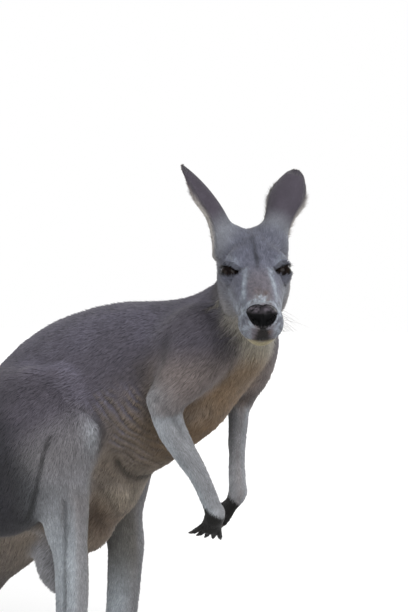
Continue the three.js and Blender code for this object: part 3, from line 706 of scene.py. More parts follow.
# ---------------------------------------------------------------- folds and hollows
# Lines on the body, with how deep and how wide each fold is. Each is drawn on both sides.
FOLDS = [
    ([[59, 113, 514], [69, 104, 504], [79, 95, 491], [83, 89, 475], [76, 86, 452]], 4.2, 4.5),
    ([[52, 56, 400], [56, 34, 375], [50, 4, 352]], 4.2, 3.6),
    ([[42, 56, 372], [34, 34, 350], [26, 8, 334]], 3.0, 3.6),
    ([[84, 62, 436], [84, 40, 418], [86, 18, 408], [88, 2, 410]], 5.5, 4.5),
    ([[72, 34, 396], [72, 14, 388]], -2.5, 9),
    ([[40, 154, 478], [26, 152, 450], [8, 143, 408], [-12, 131, 376], [-34, 112, 352]], 7.0, 3.4),
    ([[43, 128, 384], [28, 110, 300], [24, 105, 243], [20, 100, 170]], 4.2, 3.6),
    ([[58, 118, 380], [42, 100, 300], [36, 94, 243], [30, 90, 170]], -1.8, 7),
    ([[187, 116, 530], [199, 110, 518], [207, 98, 500], [211, 80, 475]], 2.6, 6),
    ([[180, 92, 610], [186, 98, 580], [178, 98, 545]], 4.0, 12),
    ([[140, 88, 560], [150, 84, 520], [146, 66, 484]], 2.6, 14),
    ([[236, 42, 632], [246, 50, 600], [240, 40, 566]], 3.0, 9),
    ([[-27, 114, 556], [3, 104, 568], [36, 104, 552], [58, 108, 520], [70, 106, 486]], -4.5, 11),
]
FOLD_REACH = 40  # a fold leaves the skin beyond this alone


def wrinkled(p, w):
    """Where the loose skin of the flank lies in fine slanting wrinkles."""
    x, z = p[:, 0], p[:, 2]
    here = smooth(66, 84, x + 0.2 * (z - 480)) * smooth(205, 165, x) * smooth(400, 425, z)
    return here * smooth(570, 500, z - 0.3 * (x - 80)) * share_of(w, "trunk")


def relief(p, n, w):
    """How far the skin stands in from its even form: folds in, swellings out."""
    deep = np.zeros(len(p), FLOAT)
    for line, depth, width in FOLDS:
        for s in SIDES.values():
            course = mirrored(line, s)
            i = np.flatnonzero(((p > course.min(0) - FOLD_REACH) & (p < course.max(0) + FOLD_REACH)).all(1))
            deep[i] += depth * streaks(p[i], course, width, n[i])
    body_share = 1 - share_of(w, "head") - share_of(w, "ear") - share_of(w, "hand")
    deep += 1.3 * noise(p, 38, 3) * body_share
    deep += 0.6 * noise(p * [1, 1, 0.6], 15, 4) * body_share
    x, z = p[:, 0], p[:, 2]
    waves = np.sin((0.76 * x + 0.65 * z) / 1.75 + 3.4 * noise(p, 40, 6) + 1.7 * noise(p, 15, 16))
    patchy = np.clip(0.55 + 1.1 * noise(p, 22, 17), 0, 1.2)
    deep += (5.2 * np.clip(waves + 0.2, 0, 1.2) ** 1.5 - 1.8) * wrinkled(p, w) * patchy
    deep += 0.35 * np.sin(p @ unit([1, 0, -0.25]) / 4.2 + 2 * noise(p, 30, 5)) * share_of(w, "tail")
    return deep


def face_form(f, q):
    """The field near the face, with a ball of lid over each eye, the nostrils and the split lip."""
    for s in SIDES.values():
        r = norm(q - mirrored(EYE["at"], s))
        f = melt(f, r - EYE["radius"] - LID_THICK, 3.5)
    across, height, inside = nose_front(q)
    front = smooth(70, 90, q[:, 0])
    f = f + front * (3.8 * nostrils(across, height) - 0.7 * bell(inside + 0.8, 1.1))
    seam = bell(across, 0.9) * smooth(-25, -22, height) * smooth(9, 3, height)
    return f + front * 1.8 * seam


def open_lids(q):
    """Points round the eyes brought in: a soft hollow at the eye, and the gap between its lids."""
    for s in SIDES.values():
        inside, _, _, r, side = eye_place(q, s)
        middle = mirrored(EYE["at"], s)
        height = (q - middle) @ UP
        turn = np.radians(side)[:, None]
        out = AHEAD * np.cos(turn) + np.array([0, s, 0]) * np.sin(turn)
        rim = EYE["radius"] + LID_THICK
        for radius, share in ((rim, smooth(-6, -1, inside)), (rim - 2.6, smooth(-0.15, 0.35, inside))):
            level = np.sqrt(np.maximum(radius**2 - height**2, 1))[:, None]
            target = middle + out * level + UP * height[:, None]
            share = share * (r < 30) * (r > radius)
            q = q + (target - q) * share[:, None]
    return q.astype(FLOAT)


def lid_relief(q):
    """How far the skin round the eyes stands in: creases above and below the lids' full edges."""
    deep = np.zeros(len(q), FLOAT)
    for s in SIDES.values():
        inside, over, under, r, side = eye_place(q, s)
        around = bell(np.maximum(r - 16, 0), 9) * smooth(-60, -35, side) * smooth(150, 120, side)
        around = around * smooth(-0.4, -1.0, inside)
        lower = 0.7 * bell(under - 4.2, 1.4)
        deep += around * (1.0 * bell(over - 4.4, 1.3) - 0.8 * bell(over - 1.8, 1.5))
        deep += around * (0.5 * bell(over - 8, 1.5) + lower - 0.6 * bell(under - 1.6, 1.3))
        deep += around * 0.4 * bell(under - 8, 1.6)
    return deep


def mouth(q, width, n=None):
    """How much each point of the head's frame lies on the mouth's line."""
    return np.maximum(*(streaks(q, mirrored(MOUTH, s), width, n) for s in SIDES.values()))


# ---------------------------------------------------------------- markings
def colour(red, green, blue):
    """A colour written as on a screen, as light."""
    c = np.array([red, green, blue]) / 255
    return np.where(c < 0.04045, c / 12.92, ((c + 0.055) / 1.055) ** 2.4).astype(FLOAT)


FUR = {
    "back": (88, 85, 97),
    "side": (83, 79, 88),
    # painted shade: the dark of the rump and the backs of the thighs, where they turn from the light
    "shaded_rear": (33, 34, 39),
    "belly": (142, 130, 117),
    "fawn": (114, 86, 55),
    "pouch": (108, 92, 78),
    "lobe": (146, 146, 150),
    "neck": (72, 69, 72),
    "throat": (150, 145, 132),
    "arm": (113, 104, 102),
    "white": (158, 163, 169),
    "pale": (158, 164, 170),
    "shank": (117, 115, 118),
    "black": (15, 13, 13),
    "toes": (70, 65, 64),
    "tail": (96, 89, 76),
    "tip": (62, 57, 55),
    "brow": (100, 102, 116),
    "cheek": (104, 105, 114),
    "jaw": (116, 115, 120),
    "bridge": (107, 103, 111),
    "brown": (94, 79, 72),
    "stripe": (163, 172, 182),
    "lip": (22, 20, 20),
    "chin": (159, 149, 118),
    "ear": (68, 63, 72),
    "inside": (150, 141, 138),
    "fringe": (177, 172, 167),
}


FUR = {name: colour(*levels) for name, levels in FUR.items()}


def plain(p, name):
    return np.tile(FUR[name], (len(p), 1))


def layered(tone, *layers):
    """A tone with colours laid over it in turn, each in its share at each point."""
    for name, share in layers:
        tone = tone + (FUR[name] - tone) * np.clip(share, 0, 1)[:, None]
    return tone


def darker(tone, share):
    return tone * (1 - share)[:, None]


def head_marks(p):
    q = to_local(HEAD, p)
    x, y, z = q.T
    a = np.abs(y)
    even = np.stack([x, a, z], 1)
    tone = layered(
        plain(p, "brow"),
        ("cheek", smooth(16, -12, z + 0.1 * x) * smooth(20, 34, a + 0.25 * x)),
        ("jaw", smooth(-22, -44, z)),
        ("bridge", smooth(20, 55, x) * smooth(20, 12, a)),
        ("brown", smooth(62, 80, x) * smooth(14, 6, a) * (0.4 + 0.6 * noise(p, 6, 11))),
    )
    crown = 0.62 * streaks(q, [[-34, -3, 45], [-4, -2, 40], [21, 0, 33], [32, -1, 29]], 3.4)
    crown += 0.4 * streaks(q, [[10, -1, 37], [20, 0, 34]], 4.5)
    stripe = streaks(even, [[32, 16, 25], [44, 17, 21], [56, 20, 13], [72, 21.5, 7], [88, 24, -2]], 4.2)
    stripe += 0.6 * streaks(even, [[66, 24, 4], [62, 28, -8], [60, 30, -20]], 4.5)
    tone = layered(
        darker(tone, 0.72 * np.clip(crown, 0, 1)),
        ("stripe", 0.85 * stripe * (0.8 + 0.7 * noise(p, 4, 12))),
        ("stripe", 0.45 * streaks(even, [[-4, 44, 30], [8, 35, 34], [20, 24, 31]], 3.5)),
        ("stripe", 0.3 * streaks(even, [[20, 38, -14], [60, 27, -14], [90, 24, -12]], 7)),
    )
    across, height, inside = nose_front(q)
    front = smooth(62, 84, x)
    smudge = bell(noise(p, 5, 21) - 0.2, 0.35) * front * smooth(15, 20, a) * smooth(24, 10, z)
    broken = np.clip(0.75 + 1.3 * noise(p, 3.2, 22), 0.1, 1.2)
    beside = front * smooth(6, -4, height) * smooth(9, 15, a) * smooth(-30, -22, height)
    lip_width = 3.4 + 0.26 * np.clip(-8 - height, 0, 20)
    lip = front * smooth(-5, -9, height) * smooth(1.5, 0.8, a / lip_width) * smooth(-25, -21, height)
    tone = layered(
        darker(tone, 0.4 * smudge),
        ("stripe", 0.42 * beside * broken),
        ("stripe", front * 0.85 * bell(inside + 3, 2.6) * smooth(-12, -2, height) * broken),
        ("stripe", front * 0.8 * bell(height - 29, 4.5) * bell(across, 7) * broken),
        ("lip", lip * 0.95),
    )
    # painted shade under the nose, over the upper lip
    tone = darker(tone, 0.3 * front * smooth(-7, -12, height) * smooth(12, 4, a))
    # a pale chin; its warm yellow cast is painted light, as bounced up from the ground
    tone = layered(tone, ("chin", smooth(-27, -34, z) * smooth(50, 76, x) * smooth(-20, -24, height)))
    # The dark rims of the lids and a dark line from each eye's inner corner, with painted shade in the
    # crease above the upper lid and under the eye.
    lids = np.zeros(len(p), FLOAT)
    for s in SIDES.values():
        gap, over, under, r, _ = eye_place(q, s)
        here = bell(np.maximum(r - 15, 0), 5)
        lids += here * (bell(np.maximum(-gap, 0), 1.9) + 0.2 * bell(under - 4.5, 2.4))
        lids += here * 0.55 * bell(over - 4.5, 1.2)
        pale = bell(r - 18, 6) * bell(over - 9, 3.5)
        tone = layered(tone, ("stripe", 0.3 * pale))
    lids += 0.7 * streaks(even, [[12, 23, 14], [19, 22, 12]], 2.2)
    tone = darker(tone, 0.93 * np.clip(lids, 0, 1))
    # the mouth's line: dark lip, deepened with painted shade in its crease
    tone = darker(tone, 0.85 * np.clip(mouth(q, 1.1) * 1.4, 0, 1))
    rows = bell((z + 14 + 0.1 * x) % 6 - 3, 1.2) * bell(x % 7 - 3.5, 1.6)
    return darker(tone, 0.65 * rows * smooth(66, 74, x) * smooth(98, 90, x) * smooth(2, -4, z))


def ear_marks(p):
    tone = plain(p, "ear")
    for s, ear in zip(SIDES.values(), EARS.values()):
        mine = np.flatnonzero(to_local(HEAD, p)[:, 1] * s > 0)
        t, across, out, _, _ = ear.place(p[mine])
        edge = np.abs(across)
        inner = smooth(0.4, -0.6, out)
        here = layered(
            tone[mine],
            ("pale", 0.45 * smooth(0.42, 0.1, t)),
            ("inside", inner * (0.9 - 0.5 * smooth(0.3, 0, edge))),
            ("fringe", smooth(0.8, 0.98, edge) * smooth(0.75, 0.45, t) * 0.9),
        )
        here = darker(here, 0.2 * smooth(0.78, 0.97, edge) * smooth(0.55, 0.8, t))
        # painted shade deep in the ear's cup, near its root
        tone[mine] = darker(here, 0.6 * inner * smooth(0.35, 0.05, t))
    return tone


def trunk_marks(p, n, wave, low):
    x, y, z = p.T
    trunk = layered(
        plain(p, "back"),
        ("side", smooth(0.75, 0.1, n[:, 2] + 0.2 * wave)),
        ("belly", low),
        # The underside is paler and, towards the chest, fawn: partly the coat's own colour, partly painted
        # light on the front of the belly and painted shade along its bottom.
        ("throat", 0.5 * low * smooth(90, 160, x)),
        ("fawn", 0.75 * low * smooth(80, 160, x)),
    )
    # painted shade: darker in the hollow behind the shoulder and along the bottom of the belly
    under = 0.3 * bell(np.hypot(x - 168, z - 560), 26) * smooth(70, 90, np.abs(y))
    under += 0.35 * low * smooth(60, 100, x) * smooth(175, 135, x)
    # painted shade on the lower rear of the trunk, where it faces down and back
    shaded_rear = 0.6 * smooth(-90, -190, x) * smooth(0.6, -0.2, n[:, 2])
    return layered(darker(trunk, under), ("shaded_rear", shaded_rear))


def thigh_marks(p, n, wave, inner):
    x, y, z = p.T
    knee = norm(np.stack([x - 76, np.abs(y) - 102, (z - 474) * 0.7], 1))
    behind = smooth(8, -48, x + 0.45 * (z - 470) * (z < 470) + 9 * wave)
    return layered(
        plain(p, "side"),
        # painted shade on the backs of the thighs, where they face back and down
        ("shaded_rear", 0.5 * smooth(0.1, -0.8, n[:, 0]) * smooth(0.5, -0.1, n[:, 2])),
        ("shank", smooth(505, 425, z - 0.5 * x + 10 * wave) * smooth(-70, -10, x)),
        # painted highlight: a pale spot on the front of the knee
        ("pale", 0.85 * bell(knee, 17)),
        ("pale", 0.85 * smooth(450, 320, z) * smooth(-40, 0, x)),
        # painted shade: a dark patch behind the thigh, stronger on the right side than the left
        ("shaded_rear", np.where(y < 0, 0.82, 0.3) * behind * smooth(575, 450, z + 14 * wave)),
        ("pouch", 0.8 * inner),
    )


def forearm_marks(p, n, fine, inner):
    """Pale, and black from the wrist on."""
    # browner on the inner side: partly the forearm's own colour, partly painted shade
    tone = layered(plain(p, "white"), ("arm", 0.35 * smooth(-0.2, 0.8, n[:, 0]) + 0.4 * inner))
    for s in SIDES.values():
        own = to_local(hand_frame(s), p)
        beyond = smooth(6.5 - 4 * s, 10 - 4 * s, own[:, 0] + 1.6 * fine)
        tone = layered(tone, ("black", beyond * (norm(own) < 90)))
    return tone


def foot_marks(p, wave):
    """Pale, and darker towards the toes and at the sole."""
    toward = np.full(len(p), -FAR, FLOAT)
    for s in SIDES.values():
        mine = p[:, 1] * s > 0
        toward[mine] = to_local(foot_frame(s), p[mine])[:, 0]
    toes = smooth(110, 215, toward + 6 * wave) + 0.8 * smooth(8, 2, p[:, 2])
    return layered(plain(p, "pale"), ("toes", toes))


def marks(p, n, w):
    """The coat's colour at the points, as light, from where they are and which way they face."""
    x, y, z = p.T
    wave, fine = noise(p, 34, 7), noise(p, 9, 8)
    low = smooth(0.2, -0.85, n[:, 2] + 0.15 * wave)
    inner = smooth(0.1, 0.9, -n[:, 1] * np.sign(y))
    tones = {"trunk": trunk_marks(p, n, wave, low)}
    tones["breast"] = layered(tones["trunk"], ("fawn", low), ("belly", 0.2 * smooth(0, 1, wave)))
    tones["pouch"] = layered(
        plain(p, "pouch"),
        ("belly", 0.5 + 0.6 * wave),
        ("throat", 0.5 * smooth(20, 70, x + 0.4 * (z - 400))),
        ("lobe", smooth(-30, -66, x + 0.2 * (z - 300))),
    )
    tones["tail"] = layered(
        plain(p, "tail"),
        ("belly", 0.3 * smooth(-0.1, -0.8, n[:, 2])),
        ("side", 0.5 * smooth(120, 260, z)),
        ("tip", smooth(-700, -860, x)),
    )
    tones["neck"] = layered(
        plain(p, "neck"),
        ("throat", smooth(0.35, -0.5, n[:, 2] - 0.5 * n[:, 0])),
        ("fawn", 0.75 * low * smooth(610, 560, z)),
        ("back", smooth(0.2, 0.8, n[:, 2])),
    )
    tones["head"] = head_marks(p)
    tones["ear"] = ear_marks(p)
    tones["arm"] = layered(
        plain(p, "arm"),
        ("white", smooth(4, -5, z - 505 - 0.25 * (x - 190) + 3 * fine)),
        # browner on the inner side: partly the arm's own colour, partly painted shade
        ("fawn", 0.6 * inner),
        ("side", smooth(560, 610, z)),
    )
    tones["forearm"] = tones["hand"] = forearm_marks(p, n, fine, inner)
    tones["thigh"] = thigh_marks(p, n, wave, inner)
    tones["shank"] = layered(
        plain(p, "shank"),
        ("pale", smooth(460, 280, z + 8 * wave)),
        ("arm", 0.5 * smooth(0.2, 0.9, n[:, 0]) * smooth(420, 380, z)),
        # browner on the inner side: partly the shank's own colour, partly painted shade
        ("tail", 0.7 * inner * smooth(200, 300, z)),
    )
    tones["foot"] = foot_marks(p, wave)
    mottled = 1 + 0.07 * wave + 0.06 * fine + 0.05 * noise(p, 3.5, 9)
    return np.clip(mixed(w, tones) * mottled[:, None], 0.002, 0.9).astype(FLOAT)


# ---------------------------------------------------------------- the skin's net
VOXEL = 3.0
LEVEL = 1.0  # the net is first made this far inside the solids
CELLS = 4  # a block is this many cells each way, and a cell this many voxels
SPACE = np.array([-904.0, -184, -12]), np.array([430.0, 184, 850])


def raw_net(field):
    """Points and quads of the surface field = 0, from voxels worked out only near it."""
    low, high = SPACE
    blocks = np.ceil((high - low) / (VOXEL * CELLS**2)).astype(int)
    values = np.empty(blocks * CELLS**2, FLOAT)
    index = np.indices(blocks).reshape(3, -1).T
    inner = np.indices([CELLS] * 3).reshape(3, -1).T
    for span in (CELLS**2, CELLS, 1):
        cell = span * VOXEL
        d = field((low + (index + 0.5) * cell - VOXEL / 2).astype(FLOAT))
        view = values.reshape([part for n in values.shape for part in (n // span, span)])
        i, j, k = index.T
        view[i, :, j, :, k, :] = np.clip(d, -30, 30)[:, None, None, None]
        if span > 1:
            index = (index[np.abs(d) < 1.1 * cell][:, None] * CELLS + inner).reshape(-1, 3)
    grid = openvdb.FloatGrid(30.0)
    grid.copyFromArray(values)
    points, quads = grid.convertToQuads(isovalue=0)
    return (points * VOXEL + low).astype(FLOAT), quads.astype(np.int64)


def split(points, quads, others, chosen):
    """Each chosen quad becomes four. Its neighbours take the new corners into their edges."""
    corners = quads[chosen]
    size = len(points)

    def key(ends):
        return np.minimum(ends[..., 0], ends[..., 1]) * size + np.maximum(ends[..., 0], ends[..., 1])

    edges, which = np.unique(key(np.stack([corners, np.roll(corners, -1, 1)], 2)), return_inverse=True)
    which = which.reshape(-1, 4) + size
    centre = size + len(edges) + np.arange(len(corners))
    ends = np.stack([edges // size, edges % size], 1)
    points = np.vstack([points, points[ends].mean(1), points[corners].mean(1)])
    new = [np.stack([corners[:, i], which[:, i], centre, which[:, i - 1]], 1) for i in range(4)]
    rest = quads[~chosen]
    found = np.isin(key(np.stack([rest, np.roll(rest, -1, 1)], 2)), edges).any(1)
    middle = dict(zip(edges.tolist(), range(size, size + len(edges))))
    grown = []
    for face in [*rest[found].tolist(), *others]:
        out = []
        for a, b in zip(face, face[1:] + face[:1]):
            out.append(a)
            between = middle.get(min(a, b) * size + max(a, b))
            if between is not None:
                out.append(between)
        grown.append(out)
    return points, np.vstack([rest[~found], *new]), grown


def onto(field, p, steps, most=2.0, step=0.4):
    """The points moved along the field's slope until it is nothing there."""
    for _ in range(steps):
        d = field(p)
        slope = [field(p + (step * axis).astype(FLOAT)) - d for axis in np.eye(3)]
        slope = np.stack(slope, 1) / step
        move = slope * (-d / np.maximum((slope * slope).sum(1), 0.25))[:, None]
        far = np.maximum(norm(move), 1e-6)[:, None]
        p = (p + move * np.minimum(1, most / far)).astype(FLOAT)
    return p


def faces_as_loops(quads, others):
    sizes = np.concatenate([np.full(len(quads), 4), [len(face) for face in others]]).astype(np.int32)
    corners = np.concatenate([quads.ravel(), *[np.array(face) for face in others]])
    return sizes, corners.astype(np.int32)


def turned_area(points, tri):
    """Each triangle's normal, as long as twice its area."""
    a, b, c = (points[tri[:, i]] for i in range(3))
    return np.cross(b - a, c - a)


def normals_of(points, quads, others):
    """The points' normals, from the faces around them."""
    n = np.zeros((len(points), 3), FLOAT)
    for tri in (quads[:, :3], quads[:, [0, 2, 3]]):
        face = turned_area(points, tri)
        for i in range(3):
            for axis in range(3):
                n[:, axis] += np.bincount(tri[:, i], face[:, axis], len(n)).astype(FLOAT)
    if others:
        turns = np.array([face[i : i + 3] for face in others for i in range(len(face) - 2)])
        face = turned_area(points, turns)
        for i in range(3):
            np.add.at(n, turns[:, i], face)
    return unit(n).astype(FLOAT)


def near_eyes(q, reach):
    return np.minimum(*(norm(q - mirrored(EYE["at"], s)) for s in SIDES.values())) < reach


def skin_net():
    """The skin's points, its quads and the few faces with more corners."""
    points, quads = raw_net(lambda p: form(p, 1.6) + LEVEL)
    others = []
    finer = [
        lambda p, q: (q[:, 0] > -66) & (norm(q) < 150) | fine_part(p),
        lambda p, q: (q[:, 0] > 66) & (q[:, 0] < 160) & (np.abs(q[:, 1:]).max(1) < 60) | near_eyes(q, 27),
        lambda p, q: near_eyes(q, 19),
    ]
    for test in finer[: 3]:
        middle = points[quads].mean(1).astype(FLOAT)
        points, quads, others = split(points, quads, others, test(middle, to_local(HEAD, middle)))
    return points.astype(FLOAT), quads, others


def fine_part(p):
    """Where the ears and hands are, whose small forms need a finer net."""
    found = np.zeros(len(p), bool)
    for s, ear in zip(SIDES.values(), EARS.values()):
        t, _, out, _, _ = ear.place(p)
        found |= (t > -0.05) & (t < 1.2) & (np.abs(out) < 12) & (norm(p - ear.frame[0]) < 150)
        found |= norm(to_local(hand_frame(s), p) - np.array([30, 0, 0], FLOAT)) < 46
    return found


FOLD_LIMITS = (-4, 8)  # the most that the skin swells and sinks
FOLD_SHADE = 0.11  # how much darker the coat is for each millimetre of depth
MOUTH_DEPTH = 1.6
ABOVE_FLOOR = 0.4


class Skin:
    """The skin on its net, with what the coat needs to know at each point."""

    def __init__(self):
        self.points, self.quads, self.others = skin_net()
        p = onto(form, self.points, 2)
        n = normals_of(p, self.quads, self.others)
        w = shares(p)
        folds = np.clip(relief(p, n, w), *FOLD_LIMITS)
        depth = coat_here(p, w)[0] + folds
        q = to_local(HEAD, p)
        on_face = (share_of(w, "head") > 0.02) & (q[:, 0] > -40)
        face, rest = np.flatnonzero(on_face), np.flatnonzero(~on_face)
        p[rest] = onto(lambda x: form(x) + depth[rest], p[rest], 2)
        inset = depth[face] + MOUTH_DEPTH * mouth(q[face], 1.2, n[face] @ HEAD[1].astype(FLOAT))
        p[face] = onto(lambda x: face_form(form(x) + inset, to_local(HEAD, x)), p[face], 5)
        p[face] = to_world(HEAD, open_lids(to_local(HEAD, p[face])))
        n = normals_of(p, self.quads, self.others)
        p[face] -= n[face] * lid_relief(to_local(HEAD, p[face]))[:, None]
        p[:, 2] = np.maximum(p[:, 2], ABOVE_FLOOR)
        self.points = p
        self.normals = n = normals_of(p, self.quads, self.others)
        self.shares = w = shares(p)
        # painted shade in the folds and painted light on the swellings: darker for each millimetre the skin
        # sinks, lighter where it swells
        self.tone = darker(marks(p, n, w), FOLD_SHADE * np.clip(folds, -3.5, 6.5))
        self.inset = -form(p)
        flow = lie(p, w)
        flow -= (flow * n).sum(1)[:, None] * n
        self.flow = unit(flow).astype(FLOAT)
        self.coat = np.stack(coat_here(p, w), 1)
        self.bare = self.bareness()

    def bareness(self):
        """Where no hair grows: the nose, the lids' edges and the eye's socket."""
        q = to_local(HEAD, self.points)
        found = nose_front(q)[2] > -0.3
        for s in SIDES.values():
            gap, _, _, r, _ = eye_place(q, s)
            found |= (gap > -1.2) & (r < 19)
        return found & (share_of(self.shares, "head") > 0.3)


# ---------------------------------------------------------------- meshes
ATTRIBUTE_KINDS = {(): ("FLOAT", "value"), (3,): ("FLOAT_VECTOR", "vector"), (4,): ("FLOAT_COLOR", "color")}


def put(name, points, sizes, corners, material, attributes):
    """A smooth mesh piece from points in millimetres, riding on the root."""
    mesh = bpy.data.meshes.new(name)
    mesh.vertices.add(len(points))
    mesh.vertices.foreach_set("co", to_frame(points).astype(FLOAT).ravel())
    mesh.loops.add(len(corners))
    mesh.loops.foreach_set("vertex_index", corners)
    mesh.polygons.add(len(sizes))
    mesh.polygons.foreach_set("loop_start", np.concatenate([[0], np.cumsum(sizes)[:-1]]).astype(np.int32))
    mesh.materials.append(material)
    mesh.update(calc_edges=True)
    for key, values in attributes.items():
        kind, field = ATTRIBUTE_KINDS[values.shape[1:]]
        attribute = mesh.attributes.new(key, kind, "POINT")
        attribute.data.foreach_set(field, np.ascontiguousarray(values, FLOAT).ravel())
    piece = bpy.data.objects.new(name, mesh)
    bpy.context.scene.collection.objects.link(piece)
    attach(piece, "root")
    return piece


def with_alpha(tone):
    return np.concatenate([tone, np.ones((len(tone), 1), FLOAT)], 1)


# ---------------------------------------------------------------- an unwrap of the skin's shape
def chart_frame(group, s):
    """The frame whose x is the axis that a part is unwrapped round."""
    if group == "head":
        return HEAD
    if group in ("hand", "forearm"):
        return hand_frame(s)
    if group == "foot":
        return foot_frame(s)
    middle, pitch = {
        "trunk": ([20, 0, 500], -22),
        "breast": ([150, 0, 540], -22),
        "pouch": ([0, 0, 350], -90),
        "neck": ([245, -10, 630], -48),
        "tail": ([-400, 0, 120], -20),
        "arm": ([210, 80 * s, 560], 70),
        "thigh": ([-60, 95 * s, 450], 90),
        "shank": ([0, 90 * s, 240], 90),
    }[group]
    return turned(middle, 0, pitch, 0)


def chart_place(p, group, s):
    """Turn round a part's axis and way along it, both from 0 to 1, for points of one part."""
    if group == "ear":
        t, across, out, _, _ = EARS["left" if s > 0 else "right"].place(p)
        return np.clip(0.25 + 0.24 * across + 0.5 * (out < 0), 0, 1), np.clip(t, 0, 1)
    x, y, z = to_local(chart_frame(group, s), p).T
    return np.arctan2(y, z) / (2 * math.pi) + 0.5, (x - x.min()) / max(np.ptp(x), 1)


# ---------------------------------------------------------------- the coat of tufts
MOST_TUFTS = 48000  # in one piece, at four triangles each
TOTAL_TUFTS = 350000
SOLE = 1.2  # no tufts grow below this height, under the feet
RIDGE_AT = 0.42  # how far along a tuft its ridge is highest
ROOT_DEPTH = 0.45  # how deep a tuft's foot stands in the skin
PATCH = 0.0028


def triangles_of(skin):
    """The skin's triangles that carry hair."""
    q = skin.quads
    fans = [face[:1] + face[i : i + 2] for face in skin.others for i in range(1, len(face) - 1)]
    found = np.vstack([q[:, :3], q[:, [0, 2, 3]], np.array(fans).reshape(-1, 3)])
    return found[~skin.bare[found].all(1)]


def scatter(skin, random):
    """Roots spread evenly over the skin, thicker where the tufts are smaller."""
    tri = triangles_of(skin)
    area = norm(turned_area(skin.points, tri)) / 2
    _, length, width, overlap = skin.coat[tri].mean(1).T
    wanted = area * overlap / (0.5 * length * width)
    wanted *= skin.points[tri][:, :, 2].mean(1) > SOLE
    total = min(TOTAL_TUFTS, wanted.sum())
    ends = np.cumsum(wanted) * total / wanted.sum()
    places = np.arange(int(total)) + random.random(int(total))
    which = np.minimum(np.searchsorted(ends, places), len(tri) - 1)
    a, b = random.random((2, len(which)))
    over = a + b > 1
    a[over], b[over] = 1 - a[over], 1 - b[over]
    share = np.stack([1 - a - b, a, b], 1).astype(FLOAT)[:, :, None]
    return tri[which], share, total / wanted.sum()


def tufts(skin):
    """Every tuft of the coat as four points: two at its root, one on its ridge, one at its tip."""
    random = np.random.default_rng(20)
    tri, share, thinner = scatter(skin, random)

    def at(values):
        return (values[tri] * share).sum(1)

    root, tone = at(skin.points), at(skin.tone)
    n = unit(at(skin.normals))
    depth, length, width, _ = at(skin.coat).T
    w = at(skin.shares.T)
    count = len(root)
    stretch = min((1 / max(thinner, 0.05)) ** 0.5, 2.2)
    t = at(skin.flow)
    t = unit(t - (t * n).sum(1)[:, None] * n)
    side = np.cross(n, t)
    sway = 0.20 * noise(root, 26, 31) + 0.16 * noise(root, 8, 32) + 0.13 * random.standard_normal(count)
    t = t * np.cos(sway)[:, None] + side * np.sin(sway)[:, None]
    side = np.cross(n, t)
    length = length * random.uniform(0.75, 1.2, count) * stretch**0.4
    width = width * random.uniform(0.7, 1.3, count) * stretch
    rise = 0.66 + 0.2 * noise(root, 12, 33) + 0.2 * random.standard_normal(count)
    height = depth * np.clip(rise, 0.25, 1.15)
    reach = np.sqrt(np.maximum(length**2 - height**2, (0.5 * length) ** 2))
    tip = (root + t * reach[:, None] + n * height[:, None]).astype(FLOAT)
    far = form(tip) + at(skin.inset[:, None])[:, 0] - height
    tip = tip - n * np.clip(far, -4, 4)[:, None]
    ridge = root + (tip - root) * RIDGE_AT + n * (0.12 * height + 0.22 * width)[:, None]
    low = root - n * ROOT_DEPTH
    points = np.stack([low - side * width[:, None] / 2, low + side * width[:, None] / 2, ridge, tip], 1)
    points[:, :, 2] = np.maximum(points[:, :, 2], 0.3)
    grain = 1 + 0.13 * random.standard_normal(count) + 0.12 * noise(root, 5, 34)
    grain = grain + 0.3 * noise(root, 2.6, 35) * w[:, GROUPS.index("head")]
    grain = np.clip(grain, 0.55, 1.5)[:, None]
    pale = random.random(count)[:, None] < 0.12
    tones = np.stack([tone * 0.66, tone * 0.66, tone, tone * np.where(pale, 1.35, 1.12)], 1)
    tones = np.clip(tones * grain[:, None], 0.002, 0.92)
    soft = unit(np.stack([n - 0.3 * side, n + 0.3 * side, n, n + 0.25 * t], 1))
    _, rim, way = ear_edge(root)
    rim = np.flatnonzero((rim > 0.05) & (w[:, GROUPS.index("ear")] > 0.5))
    soft[rim] = unit(way[rim] + np.array([0, 0, 0.8]))[:, None]
    along = np.tile(np.array([0, 0, RIDGE_AT, 1], FLOAT), (count, 1))
    across = np.tile(np.array([-1, 1, 0, 0], FLOAT), (count, 1))
    strand = np.stack([across, along, np.repeat(random.random(count)[:, None], 4, 1)], 2)
    group = skin.shares[:, tri[:, 0]].argmax(0)
    return {"points": points, "tone": tones, "normals": soft, "strand": strand, "group": group, "root": root}


# Which groups make each coat piece. Those on a limb come once for each side.
COATS = {
    "back": ["trunk"],
    "chest": ["breast", "neck"],
    "pouch": ["pouch"],
    "tail": ["tail"],
    "face": ["head"],
    "ears": ["ear"],
    "arm": ["arm", "forearm", "hand"],
    "thigh": ["thigh"],
    "leg": ["shank", "foot"],
}
PAIRED = ("arm", "thigh", "leg")


def coat_pieces(hair):
    """Names of the coat's pieces, with the tufts of each."""
    left = hair["root"][:, 1] > 0
    for name, groups in COATS.items():
        mine = np.isin(hair["group"], [GROUPS.index(g) for g in groups])
        halves = {name: mine}
        if name in PAIRED:
            halves = {f"{name}_left": mine & left, f"{name}_right": mine & ~left}
        for key, chosen in halves.items():
            found = np.flatnonzero(chosen)
            parts = math.ceil(len(found) / MOST_TUFTS)
            order = found[np.argsort(hair["root"][found, 0], kind="stable")]
            for i, some in enumerate(np.array_split(order, max(parts, 1))):
                yield (f"coat_{key}_{i + 1}" if parts > 1 else f"coat_{key}"), groups, some


